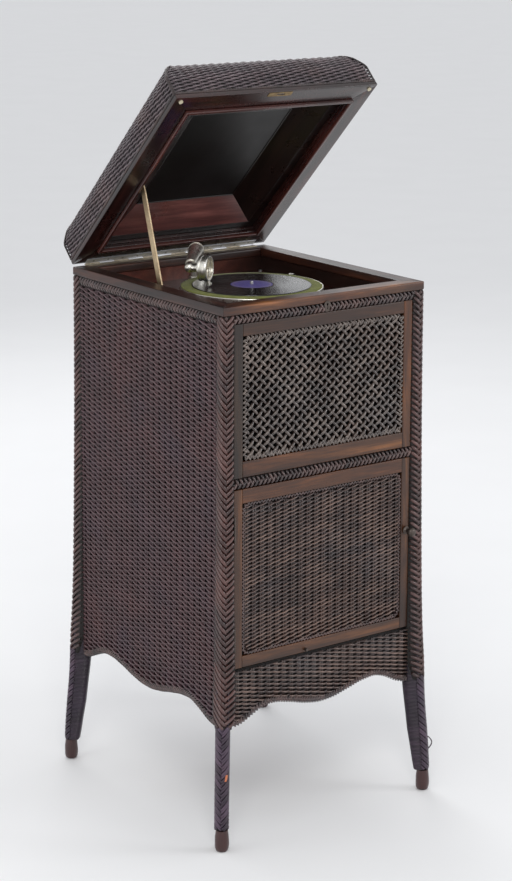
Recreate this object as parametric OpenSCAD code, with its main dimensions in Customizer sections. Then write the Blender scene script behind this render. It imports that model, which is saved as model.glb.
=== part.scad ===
// Floor-standing wind-up gramophone in a woven cabinet, lid open.
// Origin: on the floor, under the middle of the whole outline. +Z up, the front faces -Y.
// Everything is in millimetres and drawn at rest: lid open on its stay, door shut.

/* [Cabinet] */
// Width over the corner posts
body_w = 512; // [480:1:540]
// Depth over the corner posts
body_d = 564; // [540:1:590]
// Height of the wooden rim's top face
rim_z = 1120; // [1110:1:1135]
// Width of the rim frame's top face
rim_w = 40; // [34:1:44]
// Thickness of the rim frame
rim_t = 18; // [14:1:18]
// Side of the square corner post
post = 26; // [24:1:28]
// Thickness of the woven skins
skin = 8; // [6:0.5:8]
// Distance of a foot's centre from the middle, sideways
foot_x = 266; // [262:1:270]
// Distance of a foot's centre from the middle, front to back
foot_y = 293.5; // [290:0.5:297]
// Turn of the legs' outward direction from the side towards front and back
leg_turn = 47; // [43:1:50]

/* [Front] */
// Top of the grille frame
grille_top = 1084; // [1080:1:1084]
// Bottom of the grille frame
grille_bot = 768; // [764:1:772]
// Top of the door opening
door_top = 748; // [744:1:748]
// Bottom of the door opening
door_bot = 369; // [366:1:372]
// Width of the stiles of the door and of the grille frame
stile = 21; // [18:0.5:23]

/* [Lid] */
// Angle at which the open lid stands on its stay
lid_open = 44.3; // [40:0.1:44.5]
// Height of the lid over its underside
lid_h = 106; // [100:1:112]
// Width of the lid frame's side members
lid_side = 50; // [46:1:52]

/* [Sound] */
// Diameter of the record
record_d = 254; // [250:1:256]
// Diameter of the turntable
table_d = 304.8; // [300:0.1:306]
// Top face of the motor board
board_z = 1072; // [1068:1:1074]
// Distance of the tone arm's pivot behind the turntable's axis
arm_back = 187; // [185:1:189]

/* [Hidden] */
$fn = 64;
e = 0.01;
hx = body_w / 2;
hy = body_d / 2;
plank = 8;              // carcass boards
hinge_y = hy + 1.5;     // axis of the lid hinge
hinge_z = rim_z + 1.5;
lid_gap = 3;            // underside of the closed lid above the rim
sp = [0, -22];          // turntable axis
rec_z = rim_z - 19;     // top face of the record
arm_p = [-12, sp[1] + arm_back]; // tone arm pivot
arm_a = 39.5;           // arm's direction, off -Y towards -X
arm_z = rec_z + 51;     // centre line of the tube at the elbow
arm_tilt = 3.66;        // fall of the tube towards the sound box
mz = 1000;              // height of the motor's horizontal shafts
bar_y = 55;             // spring barrel and its arbor
mid_y = bar_y - 54;     // intermediate shaft
crk_y = bar_y + 48;     // crank shaft
gov_y = sp[1] - 22.3;   // governor shaft
gov_z = 975;
out_x = hx + 26;        // how far the legs reach, sideways and front to back
out_y = hy + 30;
dax = -(hx - post) + 1.2; // door hinge axis
day = -hy - 2.4;
stay_x = -197.5;        // outer face of the stay bar
stay_b = [30, 1106];    // its lower pivot, y and z
stay_l = 216;           // between its two pins
pin_v = 4;              // height of the track's ends over the lid's underside
// lean of the bar off the vertical towards -Y, lid shut and lid open
stay_shut = acos((rim_z + 3 + pin_v - stay_b[1]) / stay_l);
stay_pa = pin_v + 1.5;
stay_p = hinge_y + stay_pa * sin(lid_open) - stay_b[0];
stay_q = hinge_z + stay_pa * cos(lid_open) - stay_b[1];
stay_m = stay_p * cos(lid_open) - stay_q * sin(lid_open);
stay_u = stay_m + sqrt(stay_m * stay_m - stay_p * stay_p - stay_q * stay_q + stay_l * stay_l);
stay_a = atan2(stay_p - stay_u * cos(lid_open), stay_q + stay_u * sin(lid_open));
door_hx = hx - post - 2.5;
knob_x = 217;
knob_z = 588;

// ---- helpers ----------------------------------------------------------
// the drawing is laid out about the cabinet's middle and moved to the middle of the whole object
off = [-((hx + 95.5) - out_x) / 2, -((hinge_y - 20 * cos(lid_open) + 98.5 * sin(lid_open)) - out_y) / 2, 0];
module at() { translate(off) children(); }
module box(a, b) { translate(a) cube([b[0] - a[0], b[1] - a[1], b[2] - a[2]]); }
module rod(a, len, r, axis = "z") {
  translate(a) rotate(axis == "x" ? [0, 90, 0] : axis == "y" ? [-90, 0, 0] : [0, 0, 0]) cylinder(h = len, r = r);
}
module ring(a, len, r, ri, axis = "z") {
  translate(a) rotate(axis == "x" ? [0, 90, 0] : axis == "y" ? [-90, 0, 0] : [0, 0, 0])
    difference() { cylinder(h = len, r = r); translate([0, 0, -1]) cylinder(h = len + 2, r = ri); }
}
module four() { for (sx = [1, -1], sy = [1, -1]) mirror([sx < 0 ? 1 : 0, 0, 0]) mirror([0, sy < 0 ? 1 : 0, 0]) children(); }
// closed-lid coordinates (front towards -Y) carried to the open lid
module lid_place() { translate([0, hinge_y, hinge_z]) rotate([-lid_open, 0, 0]) translate([0, -hinge_y, -hinge_z]) children(); }
lz = rim_z + lid_gap; // underside of the closed lid
// scalloped lower edge of the skins: t runs from 0 at the middle to 1 at the post
function scallop(t) = t < 0.6 ? 256 + 12.5 * (1 - cos(180 * t / 0.6)) : 281 - 15.5 * (1 - cos(180 * (t - 0.6) / 0.4));
function lower_edge(h, n) = [for (i = [0:n]) let (s = -h + 2 * h * i / n) [s, scallop(abs(s) / h)]];
// outline of a spur gear with straight-sided teeth
function gear_pts(n, m) = let (r = n * m / 2, p = 360 / n) [for (i = [0:n - 1], k = [0:3])
  let (a = i * p + [-0.30, -0.11, 0.11, 0.30][k] * p, q = (k == 0 || k == 3) ? r - m : r + 0.8 * m) [q * cos(a), q * sin(a)]];
module gear_x(x, y, z, n, m, len, turn = 0) {
  translate([x, y, z]) rotate([0, 90, 0]) rotate([0, 0, turn]) linear_extrude(len) polygon(gear_pts(n, m));
}
// arm coordinates: s along the arm from its pivot, w to its left, z up
module arm_place() { translate([arm_p[0], arm_p[1], 0]) rotate([0, 0, -90 - arm_a]) children(); }
// sound box coordinates: origin at its centre, +X along its axis out of its face
sb_z = rec_z + 41; sb_turn = 76.4;
module sb_place() { arm_place() translate([183.1, 31.9, sb_z]) rotate([0, 0, sb_turn]) children(); }
// tube coordinates: +X along the tilted tube from the end of the elbow
module tube_place() { arm_place() translate([17, 0, arm_z]) rotate([0, arm_tilt, 0]) children(); }

// ---- cabinet ----------------------------------------------------------
// [height, spread] of a post's two outer faces, which curve out towards the legs
flare = [[300, 10.6], [331, 9], [359, 7.9], [387, 6.9], [443, 5.5], [498, 4.6], [580, 3.4], [662, 2.5], [824, 0.8], [985, 0], [rim_z - rim_t - 0.05, 0]];
module post_face(h) { polygon(concat([for (p = flare) [h + p[1], p[0]]], [[h - post, rim_z - rim_t - 0.05], [h - post, 300]])); }
// [height, distance outward from the post's corner] of the plaited ridge's outer and inner edge and of the blade's inner edge
ridge_out = [[45.1, 30.3], [60, 30], [98, 27.7], [137, 24.6], [175, 20.7], [212, 18], [250, 16.3], [275, 16], [300.1, 15]];
ridge_in = [[45.1, 14.8], [61, 14], [99, 11], [137, 8], [175, 4.9], [250, 1.8], [300.1, 0]];
blade_in = [[45.1, -4], [63, -7.5], [100, -13.5], [137, -20], [175, -24.4], [217, -29.7], [250, -33.3], [300.1, -36]];
module slab(w, a, b, k = 0) {
  translate([0, w, 0]) rotate([90, 0, 0]) linear_extrude(2 * w) polygon(concat([for (p = a) [p[1], p[0]]], [for (i = [len(b) - 1:-1:0]) [b[i][1] - k, b[i][0]]]));
}
module leg() {
  intersection() {
    translate([hx, hy, 0]) rotate([0, 0, leg_turn]) {
      slab(16.2, ridge_in, ridge_out, 5);
      slab(11, ridge_in, ridge_out);
      slab(12, blade_in, ridge_out, 8);
    }
    union() {
      box([hx - 80, hy - 80, 40], [out_x, out_y, 249.5]);
      box([hx - post, hy - post, 249], [out_x, out_y, 300.1]);
    }
  }
}
module corner_posts() color("#3b2a24") at() difference() {
  four() union() {
    intersection() {
      translate([0, 400, 0]) rotate([90, 0, 0]) linear_extrude(400) post_face(hx);
      rotate([90, 0, 90]) linear_extrude(400) post_face(hy);
    }
    leg();
  }
  // room for the door hinges' knuckles beside the left front post
  for (h = [[408, 463], [639, 694]]) box([-hx + post - 2.5, -hy - 14, h[0] - 1], [-hx + post + 1, -hy - 0.01, h[1] + 1]);
  // mortise for the door's tongue
  box([hx - post - 1, -hy + 18.6, knob_z - 15], [hx - post + 5, -hy + 24, knob_z + 15]);
}
module foot_tips() color("#5d2e22") at() four() translate([foot_x, foot_y, 0])
  rotate_extrude() polygon([[0, 0], [10, 0], [13, 3], [14.6, 12], [14.2, 30], [12.5, 45], [0, 45]]);
module rim_frame() color("#4a2b1f") at() difference() {
  box([-hx, -hy, rim_z - rim_t], [hx, hy, rim_z]);
  box([-hx + rim_w, -hy + rim_w, rim_z - rim_t - 1], [hx - rim_w, hy - rim_w, rim_z + 1]);
}
module carcass_walls() color("#4a2620") at() {
  carcass_back();
  box([-hx + skin + 0.5, -hy + post + 0.1, 300.5], [-hx + skin + 0.5 + plank, hy - post - 0.1, rim_z - rim_t - 0.05]);
  difference() {
    box([hx - skin - 0.5 - plank, -hy + post + 0.1, 300.5], [hx - skin - 0.5, hy - post - 0.1, rim_z - rim_t - 0.05]);
    rod([hx - skin - plank - 1, crk_y, mz], 20, 9, "x");
  }
  // upper inner walls of the turntable well and the cleats under the board
  for (s = [1, -1]) mirror([s < 0 ? 1 : 0, 0, 0]) difference() {
    union() {
      box([hx - rim_w, -hy + rim_w - 8, board_z - 14], [hx - skin - 0.55 - plank, hy - rim_w + 8, rim_z - rim_t - 0.05]);
      box([hx - rim_w - 16, -hy + rim_w, board_z - 30], [hx - skin - 0.55 - plank, hy - rim_w, board_z - 14.05]);
    }
    for (y = [-226, 226]) rod([204, y, board_z - 26], 30, 2.1);
  }
}
module carcass_back() {
  box([-hx + post + 0.1, hy - skin - 0.5 - plank, 300.5], [hx - post - 0.1, hy - skin - 0.5, rim_z - rim_t - 0.05]);
  box([-hx + rim_w + 0.1, hy - rim_w, board_z - 14], [hx - rim_w - 0.1, hy - skin - 0.6 - plank, rim_z - rim_t - 0.05]);
  box([-hx + rim_w + 0.1, -hy + rim_w - 8, board_z - 14], [hx - rim_w - 0.1, -hy + rim_w, rim_z - rim_t - 0.05]);
}
module carcass_floor() {
  for (z = [[358, 368.9], [752, 762]])
    box([-hx + post + 0.1, -hy + 26, z[0]], [hx - post - 0.1, hy - skin - 0.6 - plank, z[1]]);
}
module shelves() color("#54302a") at() {
  carcass_floor();
  for (z = [488, 612]) box([-hx + skin + 0.6 + plank, -hy + 46, z], [hx - skin - 0.6 - plank, hy - post - 0.2, z + 8]);
}
module front_rails() color("#3d2a25") at() {
  for (z = [[grille_top, rim_z - rim_t - 0.05], [door_top, grille_bot], [340, door_bot]])
    box([-hx + post + 0.1, -hy + 9, z[0]], [hx - post - 0.1, -hy + 24, z[1]]);
  for (z = [[grille_top, rim_z - rim_t - 0.05], [door_top, grille_bot]])
    box([-hx + post + 0.1, -hy + 1, z[0] + 1], [hx - post - 0.1, -hy + 9.1, z[1] - 1]);
}
module side_skin() {
  h = hy - post - 0.1;
  rotate([90, 0, 90]) linear_extrude(skin) polygon(concat(lower_edge(h, 48), [[h, rim_z - rim_t - 0.05], [-h, rim_z - rim_t - 0.05]]));
}
module wicker_left() color("#4d3833") at() translate([-hx, 0, 0]) side_skin();
module wicker_right() color("#4d3833") at() difference() {
  translate([hx - skin, 0, 0]) side_skin();
  rod([hx - skin - 1, crk_y, mz], 20, 9, "x");
}
module wicker_back() color("#4d3833") at() {
  h = hx - post - 0.1;
  translate([0, hy, 0]) rotate([90, 0, 0]) linear_extrude(skin) polygon(concat(lower_edge(h, 48), [[h, rim_z - rim_t - 0.05], [-h, rim_z - rim_t - 0.05]]));
}
module wicker_apron() color("#4d3833") at() {
  h = hx - post - 0.1;
  translate([0, -hy + skin, 0]) rotate([90, 0, 0]) linear_extrude(skin) polygon(concat(lower_edge(h, 48), [[h, door_bot - 1], [-h, door_bot - 1]]));
}
// ---- front: grille, horn ----------------------------------------------
module front_frame(hw, z0, z1, st, rb, rt, y0, y1) {
  difference() {
    box([-hw, y0, z0], [hw, y1, z1]);
    box([-hw + st, y0 - 1, z0 + rb], [hw - st, y1 + 1, z1 - rt]);
  }
}
module grille_frame() color("#5a3420") at() front_frame(hx - post - 2, grille_bot + 1, grille_top - 1, stile + 1, 33, 26, -hy + 3, -hy + 19);
module grille_lattice() color("#544742") at() {
  box([-hx + post + 2 + stile + 1.3, -hy + 5, grille_bot + 34.3], [hx - post - 2 - stile - 1.3, -hy + 10, grille_top - 27.3]);
}
module grille_cloth() color("#0c0a0a") at()
  box([-hx + post + 2, -hy + 19.3, grille_bot + 3], [hx - post - 2, -hy + 20.5, grille_top - 3]);
// horn sections: [half width, bottom, top, y]
module hsec(s, t = 0) { box([-s[0] - t, s[3] - 0.5, s[1] - t], [s[0] + t, s[3] + 0.5, s[2] + t]); }
hA = [190, 800, 1040, -261]; hB = [120, 800, 930, -110]; hC = [45, 830, 905, 130];
module horn() color("#6b4a30") at() difference() {
  union() { hull() { hsec(hA, 5); hsec(hB, 5); } hull() { hsec(hB, 5); hsec(hC, 5); } }
  hull() { translate([0, -1, 0]) hsec(hA); hsec(hB); }
  hull() { hsec(hB); translate([0, 1, 0]) hsec(hC); }
}
module horn_elbow() color("#2d2d2d") at() difference() {
  union() {
    hull() { translate([0, 1.2, 0]) hsec(hC, 5); box([arm_p[0] - 24, arm_p[1] - 22, 955], [arm_p[0] + 24, arm_p[1] + 24, 960]); }
    rod([arm_p[0], arm_p[1], 950], board_z - 14.1 - 950, 17);
  }
  hull() { translate([0, 0.1, 0]) hsec(hC); box([arm_p[0] - 20, arm_p[1] - 17, 954], [arm_p[0] + 20, arm_p[1] + 20, 958]); }
  rod([arm_p[0], arm_p[1], 940], 200, 13);
}
// ---- motor board and motor ---------------------------------------------
module motor_board() color("#5a2a1c") at() difference() {
  box([-hx + rim_w + 0.5, -hy + rim_w + 0.5, board_z - 14], [hx - rim_w - 0.5, hy - rim_w - 0.5, board_z]);
  rod([sp[0], sp[1], board_z - 20], 40, 9);
  rod([arm_p[0], arm_p[1], board_z - 20], 40, 13);
  rod([176, 66, board_z - 20], 40, 2.55);
  rod([170, -196, board_z - 20], 40, 3.05);
  for (x = [-204, 204], y = [-226, 226]) rod([x, y, board_z - 20], 40, 2.1);
}
module board_screws() color("#b9bcc0") at() for (x = [-204, 204], y = [-226, 226]) union() {
  difference() { rod([x, y, board_z + 0.05], 2, 4.2); box([x - 5, y - 0.5, board_z + 1.3], [x + 5, y + 0.5, board_z + 3]); }
  rod([x, y, board_z - 25], 25.1, 2);
}
module motor_frame() color("#6f7072") at() {
  difference() {
    union() {
      box([-80, -62, board_z - 20], [70, 122, board_z - 14]);
      for (x = [-80, 65]) box([x, -62, 944], [x + 5, 122, board_z - 19]);
      box([-76, sp[1] - 8, 944], [66, sp[1] + 8, 950]);
    }
    rod([sp[0], sp[1], 940], 140, 4.25);
    for (x = [-90, 60]) {
      rod([x, bar_y, mz], 20, 5.05, "x");
      rod([x, mid_y, mz], 20, 3.05, "x");
      rod([x, gov_y, gov_z], 20, 2.55, "x");
    }
    rod([60, crk_y, mz], 20, 5.05, "x");
    for (x = [-68, 58], y = [-52, 112]) rod([x, y, 1040], 60, 2.6);
  }
}
module spindle() color("#b9bcc0") at() {
  rod([sp[0], sp[1], 946], rec_z - 2 - 946, 4.2);
  rod([sp[0], sp[1], rec_z - 2.1], 2.5, 3);
  rod([sp[0], sp[1], rec_z + 0.3], rim_z - 12 - rec_z - 0.3, 3.6);
  translate([sp[0], sp[1], 992]) linear_extrude(16) polygon([for (i = [0:15], k = [0:3])
    let (a = i * 22.5 + [-6.5, -3, 3, 6.5][k], q = (k == 0 || k == 3) ? 6.6 : 8.2) [q * cos(a), q * sin(a)]]);
  translate([sp[0], sp[1], gov_z - 4]) linear_extrude(8) polygon(gear_pts(34, 1));
}
module governor() color("#c9a23f") at() {
  rod([-79, gov_y, gov_z], 148, 2.5, "x");
  translate([-18, gov_y, gov_z]) rotate([0, 90, 0]) rotate_extrude() polygon(concat([[0, 0]],
    [for (i = [0:11], k = [0:1]) [k == 0 ? 3.1 : 3.9, 3 * i + 1.5 * k]], [[0, 36]]));
  rod([48, gov_y, gov_z], 3, 13, "x");
  for (a = [0, 120, 240]) translate([34, gov_y, gov_z]) rotate([a, 0, 0]) {
    translate([-5, 0, 9.5]) rotate([0, 90, 0]) cylinder(h = 10, r = 4.5);
    box([-14, -2, 2], [-13.4, 2, 9]);
    box([-14, -2, 8.8], [0, 2, 9.4]);
    box([0, -2, 8.8], [14.2, 2, 9.4]);
    box([13.6, -2, 8.8], [14.2, 2, 13]);
  }
}
module intermediate_shaft() color("#b9bcc0") at() {
  rod([-79, mid_y, mz], 148, 3, "x");
  gear_x(-54, mid_y, mz, 12, 1.5, 12, 90);
  gear_x(-9, mid_y, mz, 26, 1.05, 18);
}
module spring_barrel() color("#8a8d90") at() difference() {
  union() {
    rod([-50, bar_y, mz], 62, 39.2, "x");
    gear_x(-52, bar_y, mz, 60, 1.5, 8, 90 + 3);
  }
  rod([-46, bar_y, mz], 54, 37.5, "x");
  rod([-60, bar_y, mz], 100, 5.06, "x");
}
// flat spring wound inside the barrel
function coil(r0, r1, turns, n) = [for (i = [0:n]) let (a = 360 * turns * i / n, r = r0 + (r1 - r0) * i / n) [r * cos(a), r * sin(a)]];
module mainspring() color("#4b5563") at() translate([-38, bar_y, mz]) rotate([0, 90, 0])
  linear_extrude(36) polygon(concat(coil(7, 36, 9, 216), [for (i = [216:-1:0]) coil(7.7, 36.7, 9, 216)[i]]));
module barrel_arbor() color("#b9bcc0") at() {
  rod([-79, bar_y, mz], 148, 5, "x");
  gear_x(46, bar_y, mz, 32, 2, 10, 90);
}
module crank_shaft() color("#b9bcc0") at() {
  rod([36, crk_y, mz], hx + 12 - 36, 5, "x");
  gear_x(46, crk_y, mz, 16, 2, 10, 90 + 11.25);
}
module crank_arm() color("#b9bcc0") at() {
  difference() {
    union() {
      rod([hx + 12, crk_y, mz], 26, 8, "x");
      box([hx + 28, crk_y - 7, mz - 100], [hx + 35, crk_y + 7, mz]);
      rod([hx + 28, crk_y, mz - 100], 7, 10, "x");
    }
    rod([hx + 10, crk_y, mz], 10, 5.0, "x");
  }
  rod([hx + 35, crk_y, mz - 100], 58, 3, "x");
  rod([hx + 93, crk_y, mz - 100], 2.5, 5, "x");
}
module crank_grip() color("#7a3b1e") at() translate([hx + 35.5, crk_y, mz - 100]) rotate([0, 90, 0])
  rotate_extrude() polygon([[3.06, 0], [8, 0], [9, 6], [8.4, 14], [10.5, 34], [11, 46], [9, 55], [6.5, 57], [3.06, 57]]);
module crank_escutcheon() color("#b9bcc0") at() difference() {
  union() { rod([hx + 0.2, crk_y, mz], 2.6, 20, "x"); rod([hx - 30, crk_y, mz], 36, 8.6, "x"); }
  rod([hx - 40, crk_y, mz], 60, 5.06, "x");
  for (a = [45, 135, 225, 315]) translate([hx - 1, crk_y + 14.5 * cos(a), mz + 14.5 * sin(a)]) rotate([0, 90, 0]) cylinder(h = 6, r = 1.6);
}

// ---- turntable ----------------------------------------------------------
module turntable() color("#aeb0a2") at() translate([sp[0], sp[1], 0]) rotate_extrude() polygon([
  [4.28, 1080], [14, 1080], [14, 1088], [20, rec_z - 8.5], [table_d / 2 - 3, rec_z - 8.5], [table_d / 2 - 3, rec_z - 18],
  [table_d / 2, rec_z - 18], [table_d / 2, rec_z - 3.2], [table_d / 2 - 0.8, rec_z - 2.5], [table_d / 2 - 2.2, rec_z - 2.5],
  [table_d / 2 - 2.6, rec_z - 4.5], [4.28, rec_z - 4.5]]);
module turntable_felt() color("#8c8f36") at() ring([sp[0], sp[1], rec_z - 4.4], 2.4, table_d / 2 - 3, 4.4);
module record() color("#101012") at() translate([sp[0], sp[1], 0]) rotate_extrude() polygon([
  [3.68, rec_z - 1.9], [record_d / 2 - 0.6, rec_z - 1.9], [record_d / 2, rec_z - 1.4], [record_d / 2, rec_z - 0.5],
  [record_d / 2 - 0.6, rec_z], [3.68, rec_z]]);

// ---- tone arm -------------------------------------------------------------
module tonearm_base() color("#a7a69a") at() translate([arm_p[0], arm_p[1], 0]) difference() {
  rotate_extrude() polygon([[17.06, board_z + 0.05], [29, board_z + 0.05], [29, board_z + 2.5], [26.5, board_z + 4.5], [22, board_z + 6],
    [20, board_z + 10], [20, board_z + 16], [17.06, board_z + 16]]);
  for (a = [30, 150, 270]) translate([24.5 * cos(a), 24.5 * sin(a), board_z - 1]) cylinder(h = 20, r = 1.8);
}
module tonearm_tube() color("#a7a69a") at() union() {
  arm_place() {
    // riser that turns in the base, with its collar
    ring([0, 0, board_z + 1], arm_z - 17 - board_z - 1, 17, 13);
    ring([0, 0, board_z + 16.4], 4, 19.5, 15);
    // elbow at the top of the riser
    translate([17, 0, arm_z - 17]) rotate([90, 0, 0]) rotate([0, 0, 90]) rotate_extrude(angle = 90)
      translate([17, 0]) difference() { circle(r = 16.95); circle(r = 13); }
  }
  // tapering tube and its ferrule
  tube_place() {
    rotate([0, 90, 0]) difference() {
      cylinder(h = 131, r1 = 16.9, r2 = 10);
      translate([0, 0, -1]) cylinder(h = 133, r1 = 13, r2 = 7.5);
    }
    ring([126, 0, 0], 5, 12, 9, "x");
  }
}
module soundbox() color("#a7a69a") at() union() {
  // spigot that turns in the tube, ball elbow and neck
  tube_place() {
    rod([119, 0, 0], 20, 7.0, "x");
    rod([131.5, 0, 0], 25, 9.4, "x");
  }
  arm_place() translate([175.4, 0, sb_z]) sphere(r = 11);
  sb_place() {
    rod([-30, 0, 0], 20, 9, "x");
    difference() {
      translate([-13, 0, 0]) rotate([0, 90, 0]) rotate_extrude() polygon([[0, 0], [14, 0], [20, 2], [26, 3.5], [27.5, 5], [27.5, 10],
        [26, 11], [26, 15], [27.5, 16], [27.5, 23], [26, 25], [0, 25]]);
      rod([4, 0, 0], 20, 21.2, "x");
      rod([7, 0, 0], 20, 23.5, "x");
      box([6.6, -2.8, -28], [13, 2.8, -22]);
    }
  }
}
module diaphragm() color("#d8cfae") at() sb_place() rod([4.5, 0, 0], 0.6, 21, "x");
module needle_chuck() color("#a7a69a") at() sb_place() {
  rod([9.4, 0, -37], 12, 2.6);
  rod([9.4, 0, -26], 27, 1.3);
  rod([5.15, 0, 0], 5.2, 1.6, "x");
  box([7.6, -6, -31.5], [11.2, 6, -28.2]);
}
module needle() color("#c8ccd0") at() sb_place() translate([9.4, 0, -40.6]) cylinder(h = 3.55, r1 = 0.25, r2 = 0.9);
module needle_screw() color("#a7a69a") at() sb_place() {
  rod([9.4, 2.65, -34.5], 6, 1.4, "y");
  rod([9.4, 7, -34.5], 4.5, 3.6, "y");
}
// ---- small controls ---------------------------------------------------------
module brake_lever() color("#c9ccd0") at() {
  rod([176, 66, board_z - 12], 14, 2.5);
  rod([176, 66, board_z + 0.3], 14, 7);
  translate([176, 66, board_z + 9]) rotate([0, 0, 227.1]) {
    box([0, -4, 0], [40, 4, 3]);
    box([34, -5, 0], [42, 5, 18]);
  }
}
module speed_dial() color("#c9ccd0") at()
  difference() { rod([170, -196, board_z + 0.05], 1.6, 22); rod([170, -196, board_z - 1], 8, 3.05); }
module speed_lever() color("#c9ccd0") at() {
  rod([170, -196, board_z - 20], 26, 3);
  rod([170, -196, board_z + 2], 4, 6);
  box([154, -198, board_z + 2.8], [168, -194, board_z + 5.3]);
}
// ---- door --------------------------------------------------------------------
module door_frame() color("#6b4023") at() difference() {
  front_frame(door_hx, door_bot + 3, door_top - 2.5, stile, 24, 30, -hy + 3, -hy + 19);
  rod([knob_x, -hy, knob_z], 40, 3.55, "y");
}
module door_wicker() color("#4d3833") at()
  box([-door_hx + stile + 0.3, -hy + 4, door_bot + 27.3], [door_hx - stile - 0.3, -hy + 11, door_top - 32.8]);
hz = [[408, 463], [639, 694]];
module door_hinge_case() color("#3a322c") at() for (h = hz) {
  rod([dax, day, h[0]], 18, 1.8);
  rod([dax, day, h[1] - 18], 18, 1.8);
  rod([dax, day, h[0]], h[1] - h[0], 0.9);
  for (z = [h[0], h[1] - 18]) {
    box([-hx + post + 0.05, day - 0.5, z], [-hx + post + 0.85, -hy + 17, z + 18]);
    box([-hx + post + 0.05, day - 1.2, z], [dax, day + 0.8, z + 18]);
  }
  box([-hx + post + 0.05, -hy + 1, h[0]], [-hx + post + 0.85, -hy + 17, h[1]]);
}
module door_hinge_leaves() color("#3a322c") at() for (h = hz) difference() {
  union() {
    rod([dax, day, h[0] + 18.35], h[1] - h[0] - 36.7, 1.8);
    box([dax + 0.4, day - 0.8, h[0] + 18.35], [-door_hx - 0.05, day + 1.6, h[1] - 18.35]);
    box([dax + 0.45, day, h[0] + 18.35], [-door_hx - 0.05, -hy + 3.5, h[1] - 18.35]);
    box([dax + 0.45, -hy + 3, h[0]], [-door_hx - 0.05, -hy + 17, h[1]]);
  }
  rod([dax, day, h[0]], h[1] - h[0], 0.96);
}
module door_knob() color("#8d8a80") at() translate([knob_x, -hy, knob_z]) {
  rod([0, 2.8, 0], 20.5, 3.5, "y");
  translate([0, 2.6, 0]) rotate([90, 0, 0]) rotate_extrude() polygon([[0, 0], [8, 0], [8.2, 1.6], [4, 3.4], [3.6, 9], [7, 12], [9.5, 16], [9.8, 20], [7.5, 24], [3, 25.8], [0, 26]]);
  // tongue, turned out of its mortise
  box([-4, 19.5, -4], [4, 22, 15]);
}
module door_peg() color("#3a2a20") at() rod([-46, -hy - 4, door_bot + 9], 6.98, 3, "y");
// ---- lid ---------------------------------------------------------------------
// [inset, height] of the lid's outer shape, sideways
prof = [[0, 10.3], [0, 50], [2, 57], [8, 68.5], [16, 81.5], [25, 90], [37, 97], [54, 102.5], [80, lid_h]];
module lid_solid(t) {
  hull() for (p = prof) {
    bx = p[0] + t; by = (p[1] < 98 ? p[0] / 2 : p[0] / 2 + 2 * (p[1] - 97)) + t;
    box([-hx + bx, -hy + by, lz + p[1] - (t > 0 ? t + 0.4 : 0.4)], [hx - bx, hy - by, lz + p[1] - (t > 0 ? t : 0)]);
  }
}
module lid_frame() color("#3a1f1b") at() lid_place() difference() {
  union() {
    box([-hx, -hy, lz], [hx, hy, lz + 9.8]);
    box([-hx + 9.3, -hy + 9.3, lz + 5], [hx - 9.3, hy - 9.3, lz + 17]);
  }
  box([-hx + lid_side, -hy + lid_side, lz - 1], [hx - lid_side, hy - lid_side, lz + 30]);
  // seat of the hinge leaf and its screws
  box([-226, hy - 16, lz - 1], [226, hy + 1, lz + 0.2]);
  for (i = [0:11]) rod([-206.25 + 37.5 * i, hy - 8, lz - 1], 10, 1.3);
}
module lid_shell() color("#4d3833") at() lid_place() difference() {
  lid_solid(0);
  translate([0, 0, -3]) lid_solid(9);
}
module lid_lining() color("#43201c") at() lid_place() difference() {
  union() {
    box([-hx + 12, -hy + 12, lz + 17.5], [hx - 12, hy - 12, lz + 20]);
    hull() {
      box([-190, -220, lz + 18], [190, 220, lz + 19]);
      box([-130, -154, lz + 55], [130, 154, lz + 56]);
    }
  }
  hull() {
    box([-187, -217, lz + 17], [187, 217, lz + 17.5]);
    box([-127, -151, lz + 52], [127, 151, lz + 53]);
  }
}
module lid_moulding() color("#6a2f26") at() lid_place() difference() {
  box([-hx + lid_side - 7, -hy + lid_side - 7, lz - 8], [hx - lid_side + 7, hy - lid_side + 7, lz - 0.05]);
  box([-hx + lid_side, -hy + lid_side, lz - 9], [hx - lid_side, hy - lid_side, lz + 1]);
}
module lid_bumpers() color("#cfc6a8") at() lid_place() for (s = [1, -1])
  translate([s * (hx - 16), -hy + 13, lz - 2.4]) cylinder(h = 2.35, r = 4.5);
module strike_plate() color("#b79a57") at() lid_place() difference() {
  box([-26, -hy + 4, lz - 0.95], [34, -hy + 15, lz - 0.05]);
  box([-4, -hy + 7, lz - 2], [16, -hy + 12, lz + 2]);
}
seg = 37.5;
module lid_hinge_case() color("#c3c8cc") at() {
  box([-225, hy - 15, rim_z + 0.05], [225, hy - 0.6, rim_z + 1.2]);
  for (i = [0:2:11]) translate([-225 + i * seg + 0.2, hinge_y, hinge_z]) {
    rotate([0, 90, 0]) cylinder(h = seg - 0.4, r = 1.45);
    box([0, -3.5, -1.4], [seg - 0.4, 0, -0.4]);
  }
  rod([-225, hinge_y, hinge_z], 450, 0.7, "x");
}
module lid_hinge_leaf() color("#c3c8cc") at() lid_place() difference() {
  union() {
    box([-225, hy - 15, lz - 1.05], [225, hy - 0.6, lz + 0.15]);
    for (i = [1:2:11]) translate([-225 + i * seg + 0.2, hinge_y, hinge_z]) {
      rotate([0, 90, 0]) cylinder(h = seg - 0.4, r = 1.45);
      box([0, -3.5, 0.45], [seg - 0.4, 0, 1.4]);
    }
  }
  rod([-230, hinge_y, hinge_z], 460, 0.76, "x");
  for (i = [0:11]) rod([-206.25 + 37.5 * i, hy - 8, lz - 2], 10, 1.3);
}
module lid_hinge_screws() color("#b9bcc0") at() lid_place() for (i = [0:11]) union() {
  rod([-206.25 + 37.5 * i, hy - 8, lz - 1.45], 0.35, 2.6);
  rod([-206.25 + 37.5 * i, hy - 8, lz - 1.4], 9, 1.25);
}
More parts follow.
